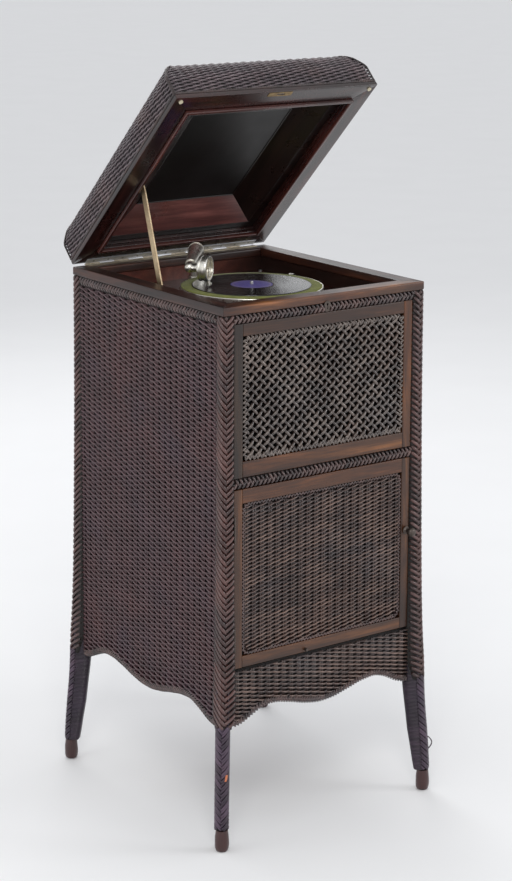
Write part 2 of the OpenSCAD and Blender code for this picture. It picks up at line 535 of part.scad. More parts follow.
// ---- lid stay -------------------------------------------------------------------
module stay_place() { translate([0, stay_b[0], stay_b[1]]) rotate([-stay_a, 0, 0]) children(); }
module stay_bar() color("#b79f6b") at() stay_place() difference() {
  union() {
    translate([stay_x, 0, 0]) rotate([90, 0, 90]) linear_extrude(3) polygon([[-7.5, 0], [7.5, 0], [7.5, stay_l - 16], [5.6, stay_l], [-5.6, stay_l], [-7.5, stay_l - 16]]);
    rod([stay_x, 0, 0], 3, 7.5, "x");
    rod([stay_x, 0, stay_l], 3, 5.6, "x");
    rod([stay_x - 8, 0, stay_l], 9, 2.7, "x");
  }
  rod([stay_x - 1, 0, 0], 6, 3.05, "x");
}
module stay_bracket() color("#6d5a3c") at() {
  box([-hx + rim_w + 0.1, stay_b[0] - 12, stay_b[1] - 14], [-hx + rim_w + 2.5, stay_b[0] + 12, rim_z - 1]);
  rod([-hx + rim_w + 2, stay_b[0], stay_b[1]], stay_x - 0.4 + hx - rim_w - 2, 6, "x");
  rod([-hx + rim_w + 2, stay_b[0], stay_b[1]], stay_x + 3.5 + hx - rim_w - 2, 3, "x");
  rod([stay_x + 3.4, stay_b[0], stay_b[1]], 1.6, 5, "x");
}
// the pin's way in the lid, t from 0 (open) to 1 (shut), in the shut lid's y and z
function pin_at(t) = let (p = -stay_a + (stay_shut + stay_a) * t, y = stay_b[0] - stay_l * sin(p) - hinge_y,
  z = stay_b[1] + stay_l * cos(p) - hinge_z, a = lid_open * (1 - t)) [hinge_y + y * cos(a) - z * sin(a), hinge_z + y * sin(a) + z * cos(a)];
module stay_track() color("#8f8468") at() lid_place() rotate([90, 0, 90]) translate([0, 0, -hx + lid_side + 0.1]) difference() {
  translate([0, 0, 0]) linear_extrude(1.8) polygon(concat(
    [for (i = [0:24]) pin_at(i / 24) + [0, 6]],
    [[pin_at(1)[0] - 9, lz + pin_v + 3], [pin_at(1)[0] - 9, lz - 2.5], [pin_at(0)[0] + 9, lz - 2.5], [pin_at(0)[0] + 9, lz + pin_v + 3]]));
  translate([0, 0, -1]) linear_extrude(4) polygon(concat(
    [for (i = [0:24]) pin_at(i / 24) + [0, 3.2]], [for (i = [24:-1:0]) pin_at(i / 24) - [0, 3.2]]));
  for (t = [0, 1]) translate([pin_at(t)[0], pin_at(t)[1], -1]) cylinder(h = 4, r = 3.2);
}
module lock_escutcheon() color("#5b4a35") at() {
  difference() {
    translate([0, -hy - 0.02, rim_z - 21]) rotate([90, 0, 0]) union() { cylinder(h = 1.8, r = 8); translate([-5.5, -14, 0]) cube([11, 14, 1.8]); }
    translate([0, -hy + 2, rim_z - 20]) rotate([90, 0, 0]) cylinder(h = 8, r = 2.2);
    box([-1, -hy - 4, rim_z - 30], [1, -hy + 1, rim_z - 20]);
  }
  box([-22, -hy + 24.5, rim_z - 60], [22, -hy + 31, rim_z - 19]);
}

corner_posts();
foot_tips();
rim_frame();
carcass_walls();
shelves();
front_rails();
wicker_left();
wicker_right();
wicker_back();
wicker_apron();
grille_frame();
grille_lattice();
grille_cloth();
horn();
horn_elbow();
motor_board();
board_screws();
motor_frame();
crank_escutcheon();
tonearm_base();
speed_dial();
door_hinge_case();
lid_hinge_case();
stay_bracket();
lock_escutcheon();
turntable();
turntable_felt();
record();
spindle();
governor();
intermediate_shaft();
spring_barrel();
mainspring();
barrel_arbor();
crank_shaft();
crank_arm();
crank_grip();
tonearm_tube();
soundbox();
diaphragm();
needle_chuck();
needle();
needle_screw();
brake_lever();
speed_lever();
door_frame();
door_wicker();
door_hinge_leaves();
door_knob();
door_peg();
lid_frame();
lid_shell();
lid_lining();
lid_moulding();
lid_bumpers();
strike_plate();
lid_hinge_leaf();
lid_hinge_screws();
stay_track();
stay_bar();
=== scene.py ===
import bpy, math
import numpy as np
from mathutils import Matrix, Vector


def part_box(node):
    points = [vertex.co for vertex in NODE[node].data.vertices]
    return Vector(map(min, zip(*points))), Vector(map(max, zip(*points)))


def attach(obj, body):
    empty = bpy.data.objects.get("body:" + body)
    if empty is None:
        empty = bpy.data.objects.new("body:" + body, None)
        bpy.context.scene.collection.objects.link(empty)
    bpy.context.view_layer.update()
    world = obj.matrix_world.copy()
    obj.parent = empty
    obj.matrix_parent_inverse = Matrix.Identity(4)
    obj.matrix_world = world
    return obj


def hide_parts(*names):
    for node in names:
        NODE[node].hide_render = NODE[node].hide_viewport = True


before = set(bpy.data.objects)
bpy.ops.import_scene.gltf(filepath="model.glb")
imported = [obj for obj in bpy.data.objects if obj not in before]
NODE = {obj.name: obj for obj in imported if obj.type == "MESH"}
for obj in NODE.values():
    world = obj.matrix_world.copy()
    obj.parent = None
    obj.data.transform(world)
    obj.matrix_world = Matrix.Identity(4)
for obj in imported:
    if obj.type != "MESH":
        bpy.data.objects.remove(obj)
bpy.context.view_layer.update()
sc = bpy.context.scene
rng = np.random.default_rng(11)

# layout coordinates: millimetres about the cabinet's middle, z from the floor
_lo, _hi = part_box("rim_frame")
OFF = np.array([(_lo[0] + _hi[0]) * 500.0, (_lo[1] + _hi[1]) * 500.0, 0.0])
PI = math.pi

# ------------------------------------------------------------------ camera
def unit(v):
    v = np.asarray(v, float)
    return v / np.linalg.norm(v)

def camera():
    az, el, roll = math.radians(-35.770), math.radians(10.083), math.radians(0.194)
    back = np.array([math.sin(az) * math.cos(el), -math.cos(az) * math.cos(el), math.sin(el)])
    target = np.array([0.0, 0.0, 1140.2]) + OFF
    place = (target + back * 4647.7) / 1000
    right = unit(np.cross(-back, [0, 0, 1]))
    up = np.cross(right, -back)
    cx = math.cos(roll) * right + math.sin(roll) * up
    cy = -math.sin(roll) * right + math.cos(roll) * up
    cam = bpy.data.cameras.new("camera")
    ob = bpy.data.objects.new("camera", cam)
    sc.collection.objects.link(ob)
    from mathutils import Matrix
    ob.matrix_world = Matrix(((cx[0], cy[0], back[0], place[0]), (cx[1], cy[1], back[1], place[1]),
                              (cx[2], cy[2], back[2], place[2]), (0, 0, 0, 1)))
    cam.sensor_fit = "AUTO"
    cam.sensor_width = 36.0
    cam.lens = 89.62
    cam.shift_x, cam.shift_y = 0.0118, -0.2000
    cam.clip_start, cam.clip_end = 0.1, 60.0
    sc.camera = ob
camera()

# ------------------------------------------------------------------ node helpers
class Mat:
    """A material under construction."""
    def __init__(s, name):
        s.m = bpy.data.materials.new(name)
        s.m.use_nodes = True
        s.t = s.m.node_tree
        s.t.nodes.clear()
        s.out = s.n("ShaderNodeOutputMaterial")
        s.b = s.n("ShaderNodeBsdfPrincipled")
        s.t.links.new(s.b.outputs[0], s.out.inputs[0])
        s.co = s.n("ShaderNodeTexCoord").outputs["Object"]
    def n(s, kind, **kw):
        x = s.t.nodes.new(kind)
        for k, v in kw.items():
            setattr(x, k, v)
        return x
    def put(s, sock, v):
        if isinstance(v, (int, float)):
            sock.default_value = v
        elif isinstance(v, (tuple, list)):
            sock.default_value = tuple(v) + (1.0,) if len(v) == 3 and len(sock.default_value) == 4 else tuple(v)
        else:
            s.t.links.new(v, sock)
    def set(s, **kw):
        names = {"base": "Base Color", "rough": "Roughness", "metal": "Metallic", "spec": "Specular IOR Level", "coat": "Coat Weight",
                 "coatr": "Coat Roughness", "sheen": "Sheen Weight", "sheenr": "Sheen Roughness", "normal": "Normal", "ior": "IOR",
                 "trans": "Transmission Weight", "aniso": "Anisotropic", "alpha": "Alpha", "sheent": "Sheen Tint"}
        for k, v in kw.items():
            s.put(s.b.inputs[names[k]], v)
        return s.m
    def attr(s, name, out="Fac"):
        a = s.n("ShaderNodeAttribute", attribute_name=name)
        return a.outputs[out]
    def map(s, vec, scale=(1, 1, 1), rot=(0, 0, 0), loc=(0, 0, 0)):
        m = s.n("ShaderNodeMapping")
        s.t.links.new(vec, m.inputs["Vector"])
        m.inputs["Scale"].default_value = scale
        m.inputs["Rotation"].default_value = rot
        m.inputs["Location"].default_value = loc
        return m.outputs[0]
    def noise(s, vec, scale, detail=3.0, rough=0.55, dist=0.0):
        m = s.n("ShaderNodeTexNoise")
        s.put(m.inputs["Vector"], vec)
        m.inputs["Scale"].default_value = scale
        m.inputs["Detail"].default_value = detail
        m.inputs["Roughness"].default_value = rough
        m.inputs["Distortion"].default_value = dist
        return m.outputs[0]
    def ramp(s, fac, stops, interp="LINEAR"):
        r = s.n("ShaderNodeValToRGB")
        r.color_ramp.interpolation = interp
        e = r.color_ramp.elements
        while len(e) < len(stops):
            e.new(0.5)
        for i, (p, c) in enumerate(stops):
            e[i].position = p
            e[i].color = (c, c, c, 1) if isinstance(c, (int, float)) else tuple(c) + (1,)
        s.put(r.inputs[0], fac)
        return r.outputs[0]
    def mix(s, fac, a, b, mode="MIX"):
        x = s.n("ShaderNodeMix", data_type="RGBA", blend_type=mode)
        s.put(x.inputs[0], fac)
        s.put(x.inputs[6], a)
        s.put(x.inputs[7], b)
        return x.outputs[2]
    def math(s, op, a, b=0.0, c=0.0, clamp=False):
        x = s.n("ShaderNodeMath", operation=op, use_clamp=clamp)
        s.put(x.inputs[0], a)
        s.put(x.inputs[1], b)
        s.put(x.inputs[2], c)
        return x.outputs[0]
    def sep(s, vec):
        x = s.n("ShaderNodeSeparateXYZ")
        s.put(x.inputs[0], vec)
        return x.outputs
    def range(s, v, a, b, c=0.0, d=1.0):
        x = s.n("ShaderNodeMapRange")
        s.put(x.inputs[0], v)
        for i, q in enumerate((a, b, c, d)):
            x.inputs[i + 1].default_value = q
        return x.outputs[0]
    def bump(s, h, strength, dist, prev=None):
        x = s.n("ShaderNodeBump")
        x.inputs["Strength"].default_value = strength
        x.inputs["Distance"].default_value = dist
        s.put(x.inputs["Height"], h)
        if prev is not None:
            s.put(x.inputs["Normal"], prev)
        return x.outputs[0]

def reed(name, dark, mid, light, rough=0.42, warm=(0.16, 0.085, 0.06), cool=(0.075, 0.075, 0.085), coat=0.12):
    """Twisted paper and reed cord, stained dark and varnished. tone varies from strand to strand; hi is 1 on the crests
    and low in the hollows, and it paints a highlight on the crests and shade in the hollows.
    """
    m = Mat(name)
    tone, hi = m.attr("tone"), m.attr("hi")
    patch = m.noise(m.co, 9.0, 3.0, 0.6)
    patch2 = m.noise(m.map(m.co, (1, 1, 1), loc=(3.1, 1.7, 0.4)), 21.0, 2.0)
    fibre = m.noise(m.co, 700.0, 2.0, 0.6)
    # painted light: hi lightens the crests as a painted highlight and darkens hollows and tucked ends as painted shade
    f = m.math("ADD", m.math("MULTIPLY", tone, 0.5), m.math("MULTIPLY", hi, 0.42))
    f = m.math("ADD", f, m.math("MULTIPLY", m.math("SUBTRACT", fibre, 0.5), 0.35))
    f = m.math("ADD", f, m.math("MULTIPLY", m.math("SUBTRACT", patch2, 0.5), 0.5))
    base = m.ramp(f, [(0.08, dark), (0.5, mid), (0.95, light)])
    base = m.mix(m.range(patch, 0.52, 0.72, 0.0, 0.42), base, m.mix(0.5, base, warm), "MIX")
    base = m.mix(m.range(patch, 0.48, 0.3, 0.0, 0.5), base, m.mix(0.45, base, cool), "MIX")
    n = m.bump(fibre, 0.35, 0.0004)
    r = m.math("ADD", m.math("MULTIPLY", patch2, 0.16), rough - 0.08)
    return m.set(base=base, rough=r, normal=n, spec=0.5, coat=coat, coatr=0.3)

def wood(name, dark, mid, light, wear=(0.3, 0.16, 0.08), wear_at=0.62, rough=0.38, coat=0.25, grain=1.0, vec=None, tint=True, coatr=0.2):
    """Stained wood with stretched grain, pores and rubbed edges. gc runs along, across and through each member."""
    m = Mat(name)
    g = m.attr("gc", "Vector") if vec is None else m.map(m.co, vec)
    broad = m.noise(m.map(g, (3.0 * grain, 34.0 * grain, 34.0 * grain)), 1.0, 5.0, 0.62, 0.6)
    fine = m.noise(m.map(g, (16.0, 520.0, 520.0)), 1.0, 3.0, 0.6)
    blot = m.noise(m.co, 14.0, 3.0, 0.6)
    f = m.math("ADD", m.math("MULTIPLY", broad, 0.75), m.math("MULTIPLY", fine, 0.25))
    base = m.ramp(f, [(0.3, dark), (0.5, mid), (0.72, light)])
    if tint:
        base = m.mix(1.0, base, m.attr("tint", "Color"), "MULTIPLY")
    base = m.mix(m.range(blot, 0.35, 0.7, 0.0, 0.45), base, m.mix(0.6, base, dark), "MIX")
    if wear is not None:
        edge = m.attr("edge") if vec is None else m.noise(m.co, 30.0, 2.0)
        w = m.math("ADD", m.math("MULTIPLY", edge, 0.42), m.math("MULTIPLY", m.noise(m.map(g, (9, 60, 60)), 1.0, 4.0, 0.7), 0.6))
        base = m.mix(m.range(w, wear_at, wear_at + 0.2, 0.0, 0.8), base, wear)
    n = m.bump(m.math("ADD", fine, m.math("MULTIPLY", broad, 0.6)), 0.18, 0.0006)
    r = m.math("ADD", m.math("MULTIPLY", blot, 0.22), rough - 0.11)
    return m.set(base=base, rough=r, normal=n, spec=0.5, coat=coat, coatr=coatr)

def metal(name, col, tarnish, rough=0.25, amount=0.5, scale=45.0, pits=0.15, metallic=1.0):
    m = Mat(name)
    a = m.noise(m.co, scale, 5.0, 0.62)
    b = m.noise(m.co, scale * 9, 3.0, 0.6)
    mask = m.range(m.math("ADD", m.math("MULTIPLY", a, 0.7), m.math("MULTIPLY", b, 0.3)), 0.42, 0.66, 0.0, amount)
    base = m.mix(mask, col, tarnish)
    r = m.math("ADD", m.math("MULTIPLY", mask, 0.35), m.math("MULTIPLY", b, 0.12, 0.0))
    r = m.math("ADD", r, rough - 0.06)
    return m.set(base=base, metal=metallic, rough=r, normal=m.bump(b, pits, 0.0003), spec=0.5)

M = {}
M["reed_side"] = reed("reed_side", (0.010, 0.004, 0.0045), (0.055, 0.026, 0.030), (0.125, 0.066, 0.072), warm=(0.12, 0.035, 0.028), cool=(0.045, 0.035, 0.060))
M["reed_door"] = reed("reed_door", (0.002, 0.001, 0.001), (0.034, 0.018, 0.016), (0.25, 0.160, 0.125), rough=0.33, coat=0.18)
M["reed_lattice"] = reed("reed_lattice", (0.004, 0.0025, 0.002), (0.024, 0.014, 0.011), (0.21, 0.165, 0.140), rough=0.22, coat=0.5)
M["reed_braid"] = reed("reed_braid", (0.003, 0.0015, 0.0015), (0.018, 0.009, 0.009), (0.13, 0.075, 0.068), rough=0.3, coat=0.25)
M["reed_post"] = reed("reed_post", (0.004, 0.0015, 0.0015), (0.028, 0.011, 0.010), (0.125, 0.062, 0.056), rough=0.32, coat=0.2, warm=(0.16, 0.045, 0.028), cool=(0.030, 0.020, 0.030))
M["bare_reed"] = reed("bare_reed", (0.16, 0.035, 0.015), (0.46, 0.12, 0.05), (0.60, 0.22, 0.10), rough=0.5, coat=0.0, warm=(0.5, 0.12, 0.05), cool=(0.35, 0.10, 0.06))
M["reed_lid"] = reed("reed_lid", (0.005, 0.003, 0.004), (0.038, 0.024, 0.030), (0.19, 0.140, 0.150), rough=0.34, coat=0.2)
# darker and bluish-purple, painted shade for the legs under the cabinet
M["reed_leg_painted_shade"] = reed("reed_leg_painted_shade", (0.003, 0.0018, 0.003), (0.022, 0.012, 0.024), (0.095, 0.058, 0.094), rough=0.38, warm=(0.09, 0.03, 0.025), cool=(0.028, 0.022, 0.052))
# near-black, painted shade behind the woven skins
M["liner_painted_shade"] = reed("liner_painted_shade", (0.002, 0.0015, 0.0015), (0.005, 0.0035, 0.003), (0.010, 0.007, 0.006), rough=0.8, coat=0.0)
# near-black, painted shade for the recessed uprights behind the cords
M["stake_painted_shade"] = reed("stake_painted_shade", (0.002, 0.0015, 0.0015), (0.008, 0.005, 0.005), (0.018, 0.012, 0.011), rough=0.6, coat=0.0)
M["frame_wood"] = wood("frame_wood", (0.006, 0.0025, 0.0015), (0.055, 0.022, 0.009), (0.20, 0.084, 0.027), wear=(0.30, 0.14, 0.05), wear_at=0.8, coat=0.12, rough=0.42)
M["rim_wood"] = wood("rim_wood", (0.004, 0.0015, 0.001), (0.026, 0.008, 0.005), (0.12, 0.038, 0.016), wear=(0.38, 0.20, 0.11), wear_at=0.84, coat=0.15, rough=0.4)
M["lid_wood"] = wood("lid_wood", (0.003, 0.001, 0.001), (0.015, 0.004, 0.0035), (0.070, 0.018, 0.013), wear=(0.22, 0.09, 0.05), wear_at=0.88, rough=0.28, coat=0.5)
M["mahogany"] = wood("mahogany", (0.018, 0.006, 0.006), (0.120, 0.038, 0.034), (0.28, 0.100, 0.085), wear=None, rough=0.3, coat=0.5)
# near-black, painted shade for the lid's flat ceiling
M["ceiling_painted_shade"] = wood("ceiling_painted_shade", (0.001, 0.0006, 0.0006), (0.0025, 0.0016, 0.0014), (0.005, 0.003, 0.003), wear=None, rough=0.42, coat=0.08, tint=False)
M["core"] = wood("core", (0.003, 0.002, 0.0015), (0.008, 0.005, 0.004), (0.018, 0.012, 0.010), wear=None, rough=0.7, coat=0.0, tint=False)
M["nickel"] = metal("nickel", (0.82, 0.80, 0.74), (0.42, 0.39, 0.31), 0.26, 0.5)
M["nickel_clean"] = metal("nickel_clean", (0.72, 0.71, 0.68), (0.40, 0.37, 0.30), 0.16, 0.35)
M["hinge_nickel"] = metal("hinge_nickel", (0.80, 0.82, 0.86), (0.55, 0.55, 0.55), 0.46, 0.3, 60)
M["steel"] = metal("steel", (0.50, 0.50, 0.51), (0.22, 0.19, 0.16), 0.3, 0.4)
M["grey_iron"] = metal("grey_iron", (0.20, 0.20, 0.21), (0.09, 0.085, 0.08), 0.5, 0.5, 80, 0.4)
M["black_iron"] = metal("black_iron", (0.05, 0.05, 0.052), (0.09, 0.06, 0.04), 0.5, 0.4, 60, 0.4)
M["brass"] = metal("brass", (0.72, 0.48, 0.18), (0.30, 0.20, 0.09), 0.26, 0.5)
M["aged_brass"] = metal("aged_brass", (0.42, 0.30, 0.15), (0.10, 0.07, 0.045), 0.36, 0.7, 70)
M["dark_steel"] = metal("dark_steel", (0.12, 0.10, 0.09), (0.05, 0.04, 0.032), 0.42, 0.6, 90, 0.3)
M["blue_steel"] = metal("blue_steel", (0.10, 0.13, 0.19), (0.16, 0.12, 0.09), 0.3, 0.4)
M["stay_brass"] = metal("stay_brass", (0.60, 0.47, 0.30), (0.30, 0.20, 0.12), 0.32, 0.55, 50)

def felt_mat():
    m = Mat("felt")
    a, b = m.noise(m.co, 60.0, 4.0, 0.6), m.noise(m.co, 1500.0, 2.0, 0.7)
    base = m.ramp(m.math("ADD", m.math("MULTIPLY", a, 0.6), m.math("MULTIPLY", b, 0.4)), [(0.3, (0.070, 0.078, 0.006)), (0.55, (0.16, 0.175, 0.016)), (0.75, (0.30, 0.31, 0.045))])
    return m.set(base=base, rough=0.92, normal=m.bump(b, 0.6, 0.0006), sheen=0.15, sheenr=0.5, spec=0.15)
M["felt"] = felt_mat()

def shellac():
    m = Mat("shellac")
    r = m.sep(m.attr("gc", "Vector"))[0]
    fine = m.math("SINE", m.math("MULTIPLY", r, 2 * PI / 0.00105))
    band = m.n("ShaderNodeTexNoise", noise_dimensions="1D")
    m.put(band.inputs["W"], r)
    band.inputs["Scale"].default_value = 340.0
    band.inputs["Detail"].default_value = 4.0
    dust = m.noise(m.co, 240.0, 3.0, 0.6)
    cut = m.math("MULTIPLY", m.range(r, 0.0485, 0.0500), m.range(r, 0.1235, 0.1225))
    base = m.mix(m.range(dust, 0.55, 0.75, 0.0, 0.35), (0.012, 0.011, 0.012), (0.05, 0.046, 0.042))
    h = m.math("MULTIPLY", m.math("ADD", m.math("MULTIPLY", fine, 0.5), m.math("MULTIPLY", band.outputs[0], 1.2)), cut)
    rr = m.math("ADD", 0.13, m.math("MULTIPLY", band.outputs[0], 0.14))
    return m.set(base=base, rough=rr, normal=m.bump(h, 0.25, 0.00018), spec=0.6, coat=0.3, coatr=0.1)
M["shellac"] = shellac()

def label():
    m = Mat("label")
    r = m.sep(m.attr("gc", "Vector"))[0]
    a, b = m.noise(m.co, 160.0, 4.0, 0.6), m.noise(m.co, 900.0, 2.0, 0.6)
    base = m.ramp(a, [(0.3, (0.07, 0.055, 0.20)), (0.6, (0.13, 0.11, 0.33)), (0.8, (0.2, 0.18, 0.42))])
    ring = m.math("MULTIPLY", m.range(r, 0.0392, 0.0396), m.range(r, 0.0408, 0.0404))
    base = m.mix(m.math("MULTIPLY", ring, 0.8), base, (0.42, 0.33, 0.16))
    return m.set(base=base, rough=0.45, normal=m.bump(b, 0.2, 0.0002), spec=0.4)
M["label"] = label()

def mica():
    m = Mat("mica")
    a = m.noise(m.co, 90.0, 4.0, 0.6)
    base = m.ramp(a, [(0.35, (0.32, 0.27, 0.17)), (0.7, (0.62, 0.56, 0.42))])
    return m.set(base=base, rough=0.2, spec=0.7, normal=m.bump(a, 0.15, 0.0004), coat=0.6, coatr=0.08)
M["mica"] = mica()

def buff():
    m = Mat("buff")
    a = m.noise(m.co, 500.0, 3.0, 0.6)
    return m.set(base=m.ramp(a, [(0.3, (0.42, 0.36, 0.24)), (0.7, (0.72, 0.66, 0.5))]), rough=0.6, normal=m.bump(a, 0.3, 0.0003))
M["buff"] = buff()

def cloth():
    m = Mat("grille_cloth")
    x, y, z = m.sep(m.co)
    wx = m.math("SINE", m.math("MULTIPLY", x, 2 * PI / 0.0011))
    wz = m.math("SINE", m.math("MULTIPLY", z, 2 * PI / 0.0011))
    w = m.math("MULTIPLY", wx, wz)
    a = m.noise(m.co, 40.0, 3.0)
    base = m.mix(m.range(a, 0.4, 0.7), (0.004, 0.0035, 0.0035), (0.010, 0.008, 0.008))
    return m.set(base=base, rough=0.95, normal=m.bump(w, 0.5, 0.0003), spec=0.15)
M["cloth"] = cloth()

def crystal():
    """Moulded glass of the door knob, darkened with age."""
    m = Mat("knob_glass")
    a = m.noise(m.co, 70.0, 3.0)
    base = m.ramp(a, [(0.3, (0.20, 0.19, 0.17)), (0.7, (0.46, 0.44, 0.40))])
    return m.set(base=base, rough=0.12, spec=0.8, coat=0.6, coatr=0.05, normal=m.bump(a, 0.2, 0.0006))
M["crystal"] = crystal()

# a darker copy of mahogany, painted shade for the lid's side slopes, ledge bars and beads
M["mahogany_painted_shade"] = wood("mahogany_painted_shade", (0.003, 0.002, 0.002), (0.010, 0.005, 0.004), (0.026, 0.011, 0.009), wear=None, rough=0.3, coat=0.5)
M["mahogany_lip"] = wood("mahogany_lip", (0.010, 0.002, 0.002), (0.050, 0.012, 0.009), (0.13, 0.034, 0.024), wear=(0.30, 0.13, 0.09), wear_at=0.78, rough=0.3, coat=0.4)
M["foot_wood"] = wood("foot_wood", (0.008, 0.003, 0.003), (0.042, 0.011, 0.011), (0.11, 0.032, 0.026), wear=(0.02, 0.012, 0.012), wear_at=0.68)
M["grip_wood"] = wood("grip_wood", (0.05, 0.014, 0.008), (0.20, 0.06, 0.025), (0.36, 0.13, 0.055), wear=None, rough=0.25, coat=0.6, tint=False)
M["cad_inner"] = wood("cad_inner", (0.02, 0.009, 0.006), (0.08, 0.03, 0.02), (0.17, 0.07, 0.04), wear=None, vec=(1, 1, 1), tint=False, rough=0.4)
M["cad_horn"] = wood("cad_horn", (0.10, 0.055, 0.03), (0.24, 0.14, 0.08), (0.36, 0.22, 0.13), wear=None, vec=(1, 1, 1), tint=False, rough=0.55, coat=0.1)
M["cad_board"] = wood("cad_board", (0.006, 0.0025, 0.002), (0.022, 0.007, 0.005), (0.060, 0.019, 0.012), wear=None, vec=(1, 1, 1), tint=False, rough=0.24, coat=0.5)
M["hinge_dim"] = metal("hinge_dim", (0.46, 0.40, 0.30), (0.20, 0.16, 0.11), 0.42, 0.6, 60)

def carcass():
    """Near-black on the outer faces behind the weave, painted shade for the dark seen through the holes; red-brown and
    polished where the well and the cupboard show it, with painted shade on the right-hand wall of the well.
    """
    m = Mat("carcass")
    cx, cy = OFF[0] / 1000, OFF[1] / 1000
    x, y, z = m.sep(m.co)[:3]
    ax = m.math("ABSOLUTE", m.math("SUBTRACT", x, cx))
    outer = m.math("MAXIMUM", m.range(ax, 0.2465, 0.2472), m.range(m.math("SUBTRACT", y, cy), 0.2725, 0.2732))
    g = m.map(m.co, (1, 1, 1))
    broad = m.noise(m.map(g, (30.0, 6.0, 30.0)), 1.0, 5.0, 0.62, 0.6)
    fine = m.noise(m.map(g, (420.0, 14.0, 420.0)), 1.0, 3.0, 0.6)
    f = m.math("ADD", m.math("MULTIPLY", broad, 0.75), m.math("MULTIPLY", fine, 0.25))
    red = m.ramp(f, [(0.3, (0.022, 0.007, 0.005)), (0.5, (0.085, 0.022, 0.015)), (0.72, (0.20, 0.058, 0.036))])
    # dark is a near-black painted shade for the outer faces behind the weave
    dark = m.ramp(f, [(0.3, (0.003, 0.002, 0.002)), (0.7, (0.007, 0.005, 0.004))])
    # painted shade: the wall of the well on the +x side, above 1.04 m, is darkened nearly to black
    red = m.mix(m.math("MULTIPLY", m.range(m.math("SUBTRACT", x, cx), 0.03, 0.21, 0.0, 0.9), m.range(z, 1.04, 1.06)), red, (0.008, 0.004, 0.003))
    base = m.mix(outer, red, dark)
    r = m.math("ADD", 0.3, m.math("MULTIPLY", outer, 0.4))
    return m.set(base=base, rough=r, normal=m.bump(f, 0.15, 0.0005), spec=0.5, coat=0.3, coatr=0.2)
M["carcass"] = carcass()

# ------------------------------------------------------------------ mesh helpers
class Geo:
    def __init__(s):
        s.V, s.F, s.k = [], {3: [], 4: []}, 0
        s.mi = {3: [], 4: []}
        s.A = {}
        s.count = 0
    def add(s, V, Q=None, T=None, mat=0, **at):
        V = np.asarray(V, float).reshape(-1, 3)
        n = len(V)
        for key, F in ((4, Q), (3, T)):
            if F is not None and len(F):
                F = np.asarray(F).reshape(-1, key)
                s.F[key].append(F + s.k)
                s.mi[key].append(np.full(len(F), mat))
        full = dict(tone=0.5, hi=0.5, edge=0.0, gc=V / 1000, tint=(1.0, 1.0, 1.0))
        full.update(at)
        for name, v in full.items():
            w = 3 if name in ("gc", "tint") else 1
            a = np.broadcast_to(np.asarray(v, float).reshape(-1, w) if np.ndim(v) else np.asarray([[v]], float), (n, w))
            s.A.setdefault(name, []).append(a)
        s.V.append(V)
        s.k += n
        return s

def build(name, g, body, mats, replaces=(), uv=None, use=("tone", "hi"), smooth=True, sharp=None):
    V = np.concatenate(g.V)
    Q = np.concatenate(g.F[4]) if g.F[4] else np.zeros((0, 4), int)
    T = np.concatenate(g.F[3]) if g.F[3] else np.zeros((0, 3), int)
    mi = np.concatenate([np.concatenate(g.mi[4]) if g.mi[4] else np.zeros(0, int), np.concatenate(g.mi[3]) if g.mi[3] else np.zeros(0, int)])
    me = bpy.data.meshes.new(name)
    me.vertices.add(len(V))
    me.vertices.foreach_set("co", ((V + OFF) / 1000).astype(np.float32).ravel())
    loops = np.concatenate([Q.ravel(), T.ravel()]).astype(np.int32)
    me.loops.add(len(loops))
    me.loops.foreach_set("vertex_index", loops)
    me.polygons.add(len(Q) + len(T))
    start = np.concatenate([np.arange(len(Q)) * 4, len(Q) * 4 + np.arange(len(T)) * 3]).astype(np.int32)
    me.polygons.foreach_set("loop_start", start)
    me.update(calc_edges=True)
    me.polygons.foreach_set("material_index", mi.astype(np.int32))
    me.polygons.foreach_set("use_smooth", np.full(len(mi), bool(smooth)))
    for nm in use:
        a = np.concatenate(g.A[nm]).astype(np.float32)
        if nm == "gc":
            me.attributes.new("gc", "FLOAT_VECTOR", "POINT").data.foreach_set("vector", a.ravel())
        elif nm == "tint":
            c = np.ones((len(a), 4), np.float32)
            c[:, :3] = a
            me.attributes.new("tint", "FLOAT_COLOR", "POINT").data.foreach_set("color", c.ravel())
        else:
            me.attributes.new(nm, "FLOAT", "POINT").data.foreach_set("value", a.ravel())
    if uv is not None:
        P = uv(V)
        P = (P - P.min(0)) / (P.max(0) - P.min(0)) * 0.96 + 0.02
        me.uv_layers.new(name="OFBake").data.foreach_set("uv", P[loops].astype(np.float32).ravel())
    me.validate()
    if sharp is not None:
        me.set_sharp_from_angle(angle=math.radians(sharp))
    ob = bpy.data.objects.new(name, me)
    sc.collection.objects.link(ob)
    for m in mats:
        me.materials.append(M[m])
    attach(ob, body)
    if replaces:
        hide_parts(*replaces)
    return ob

def norm(a):
    return a / np.maximum(np.linalg.norm(a, axis=-1, keepdims=True), 1e-9)

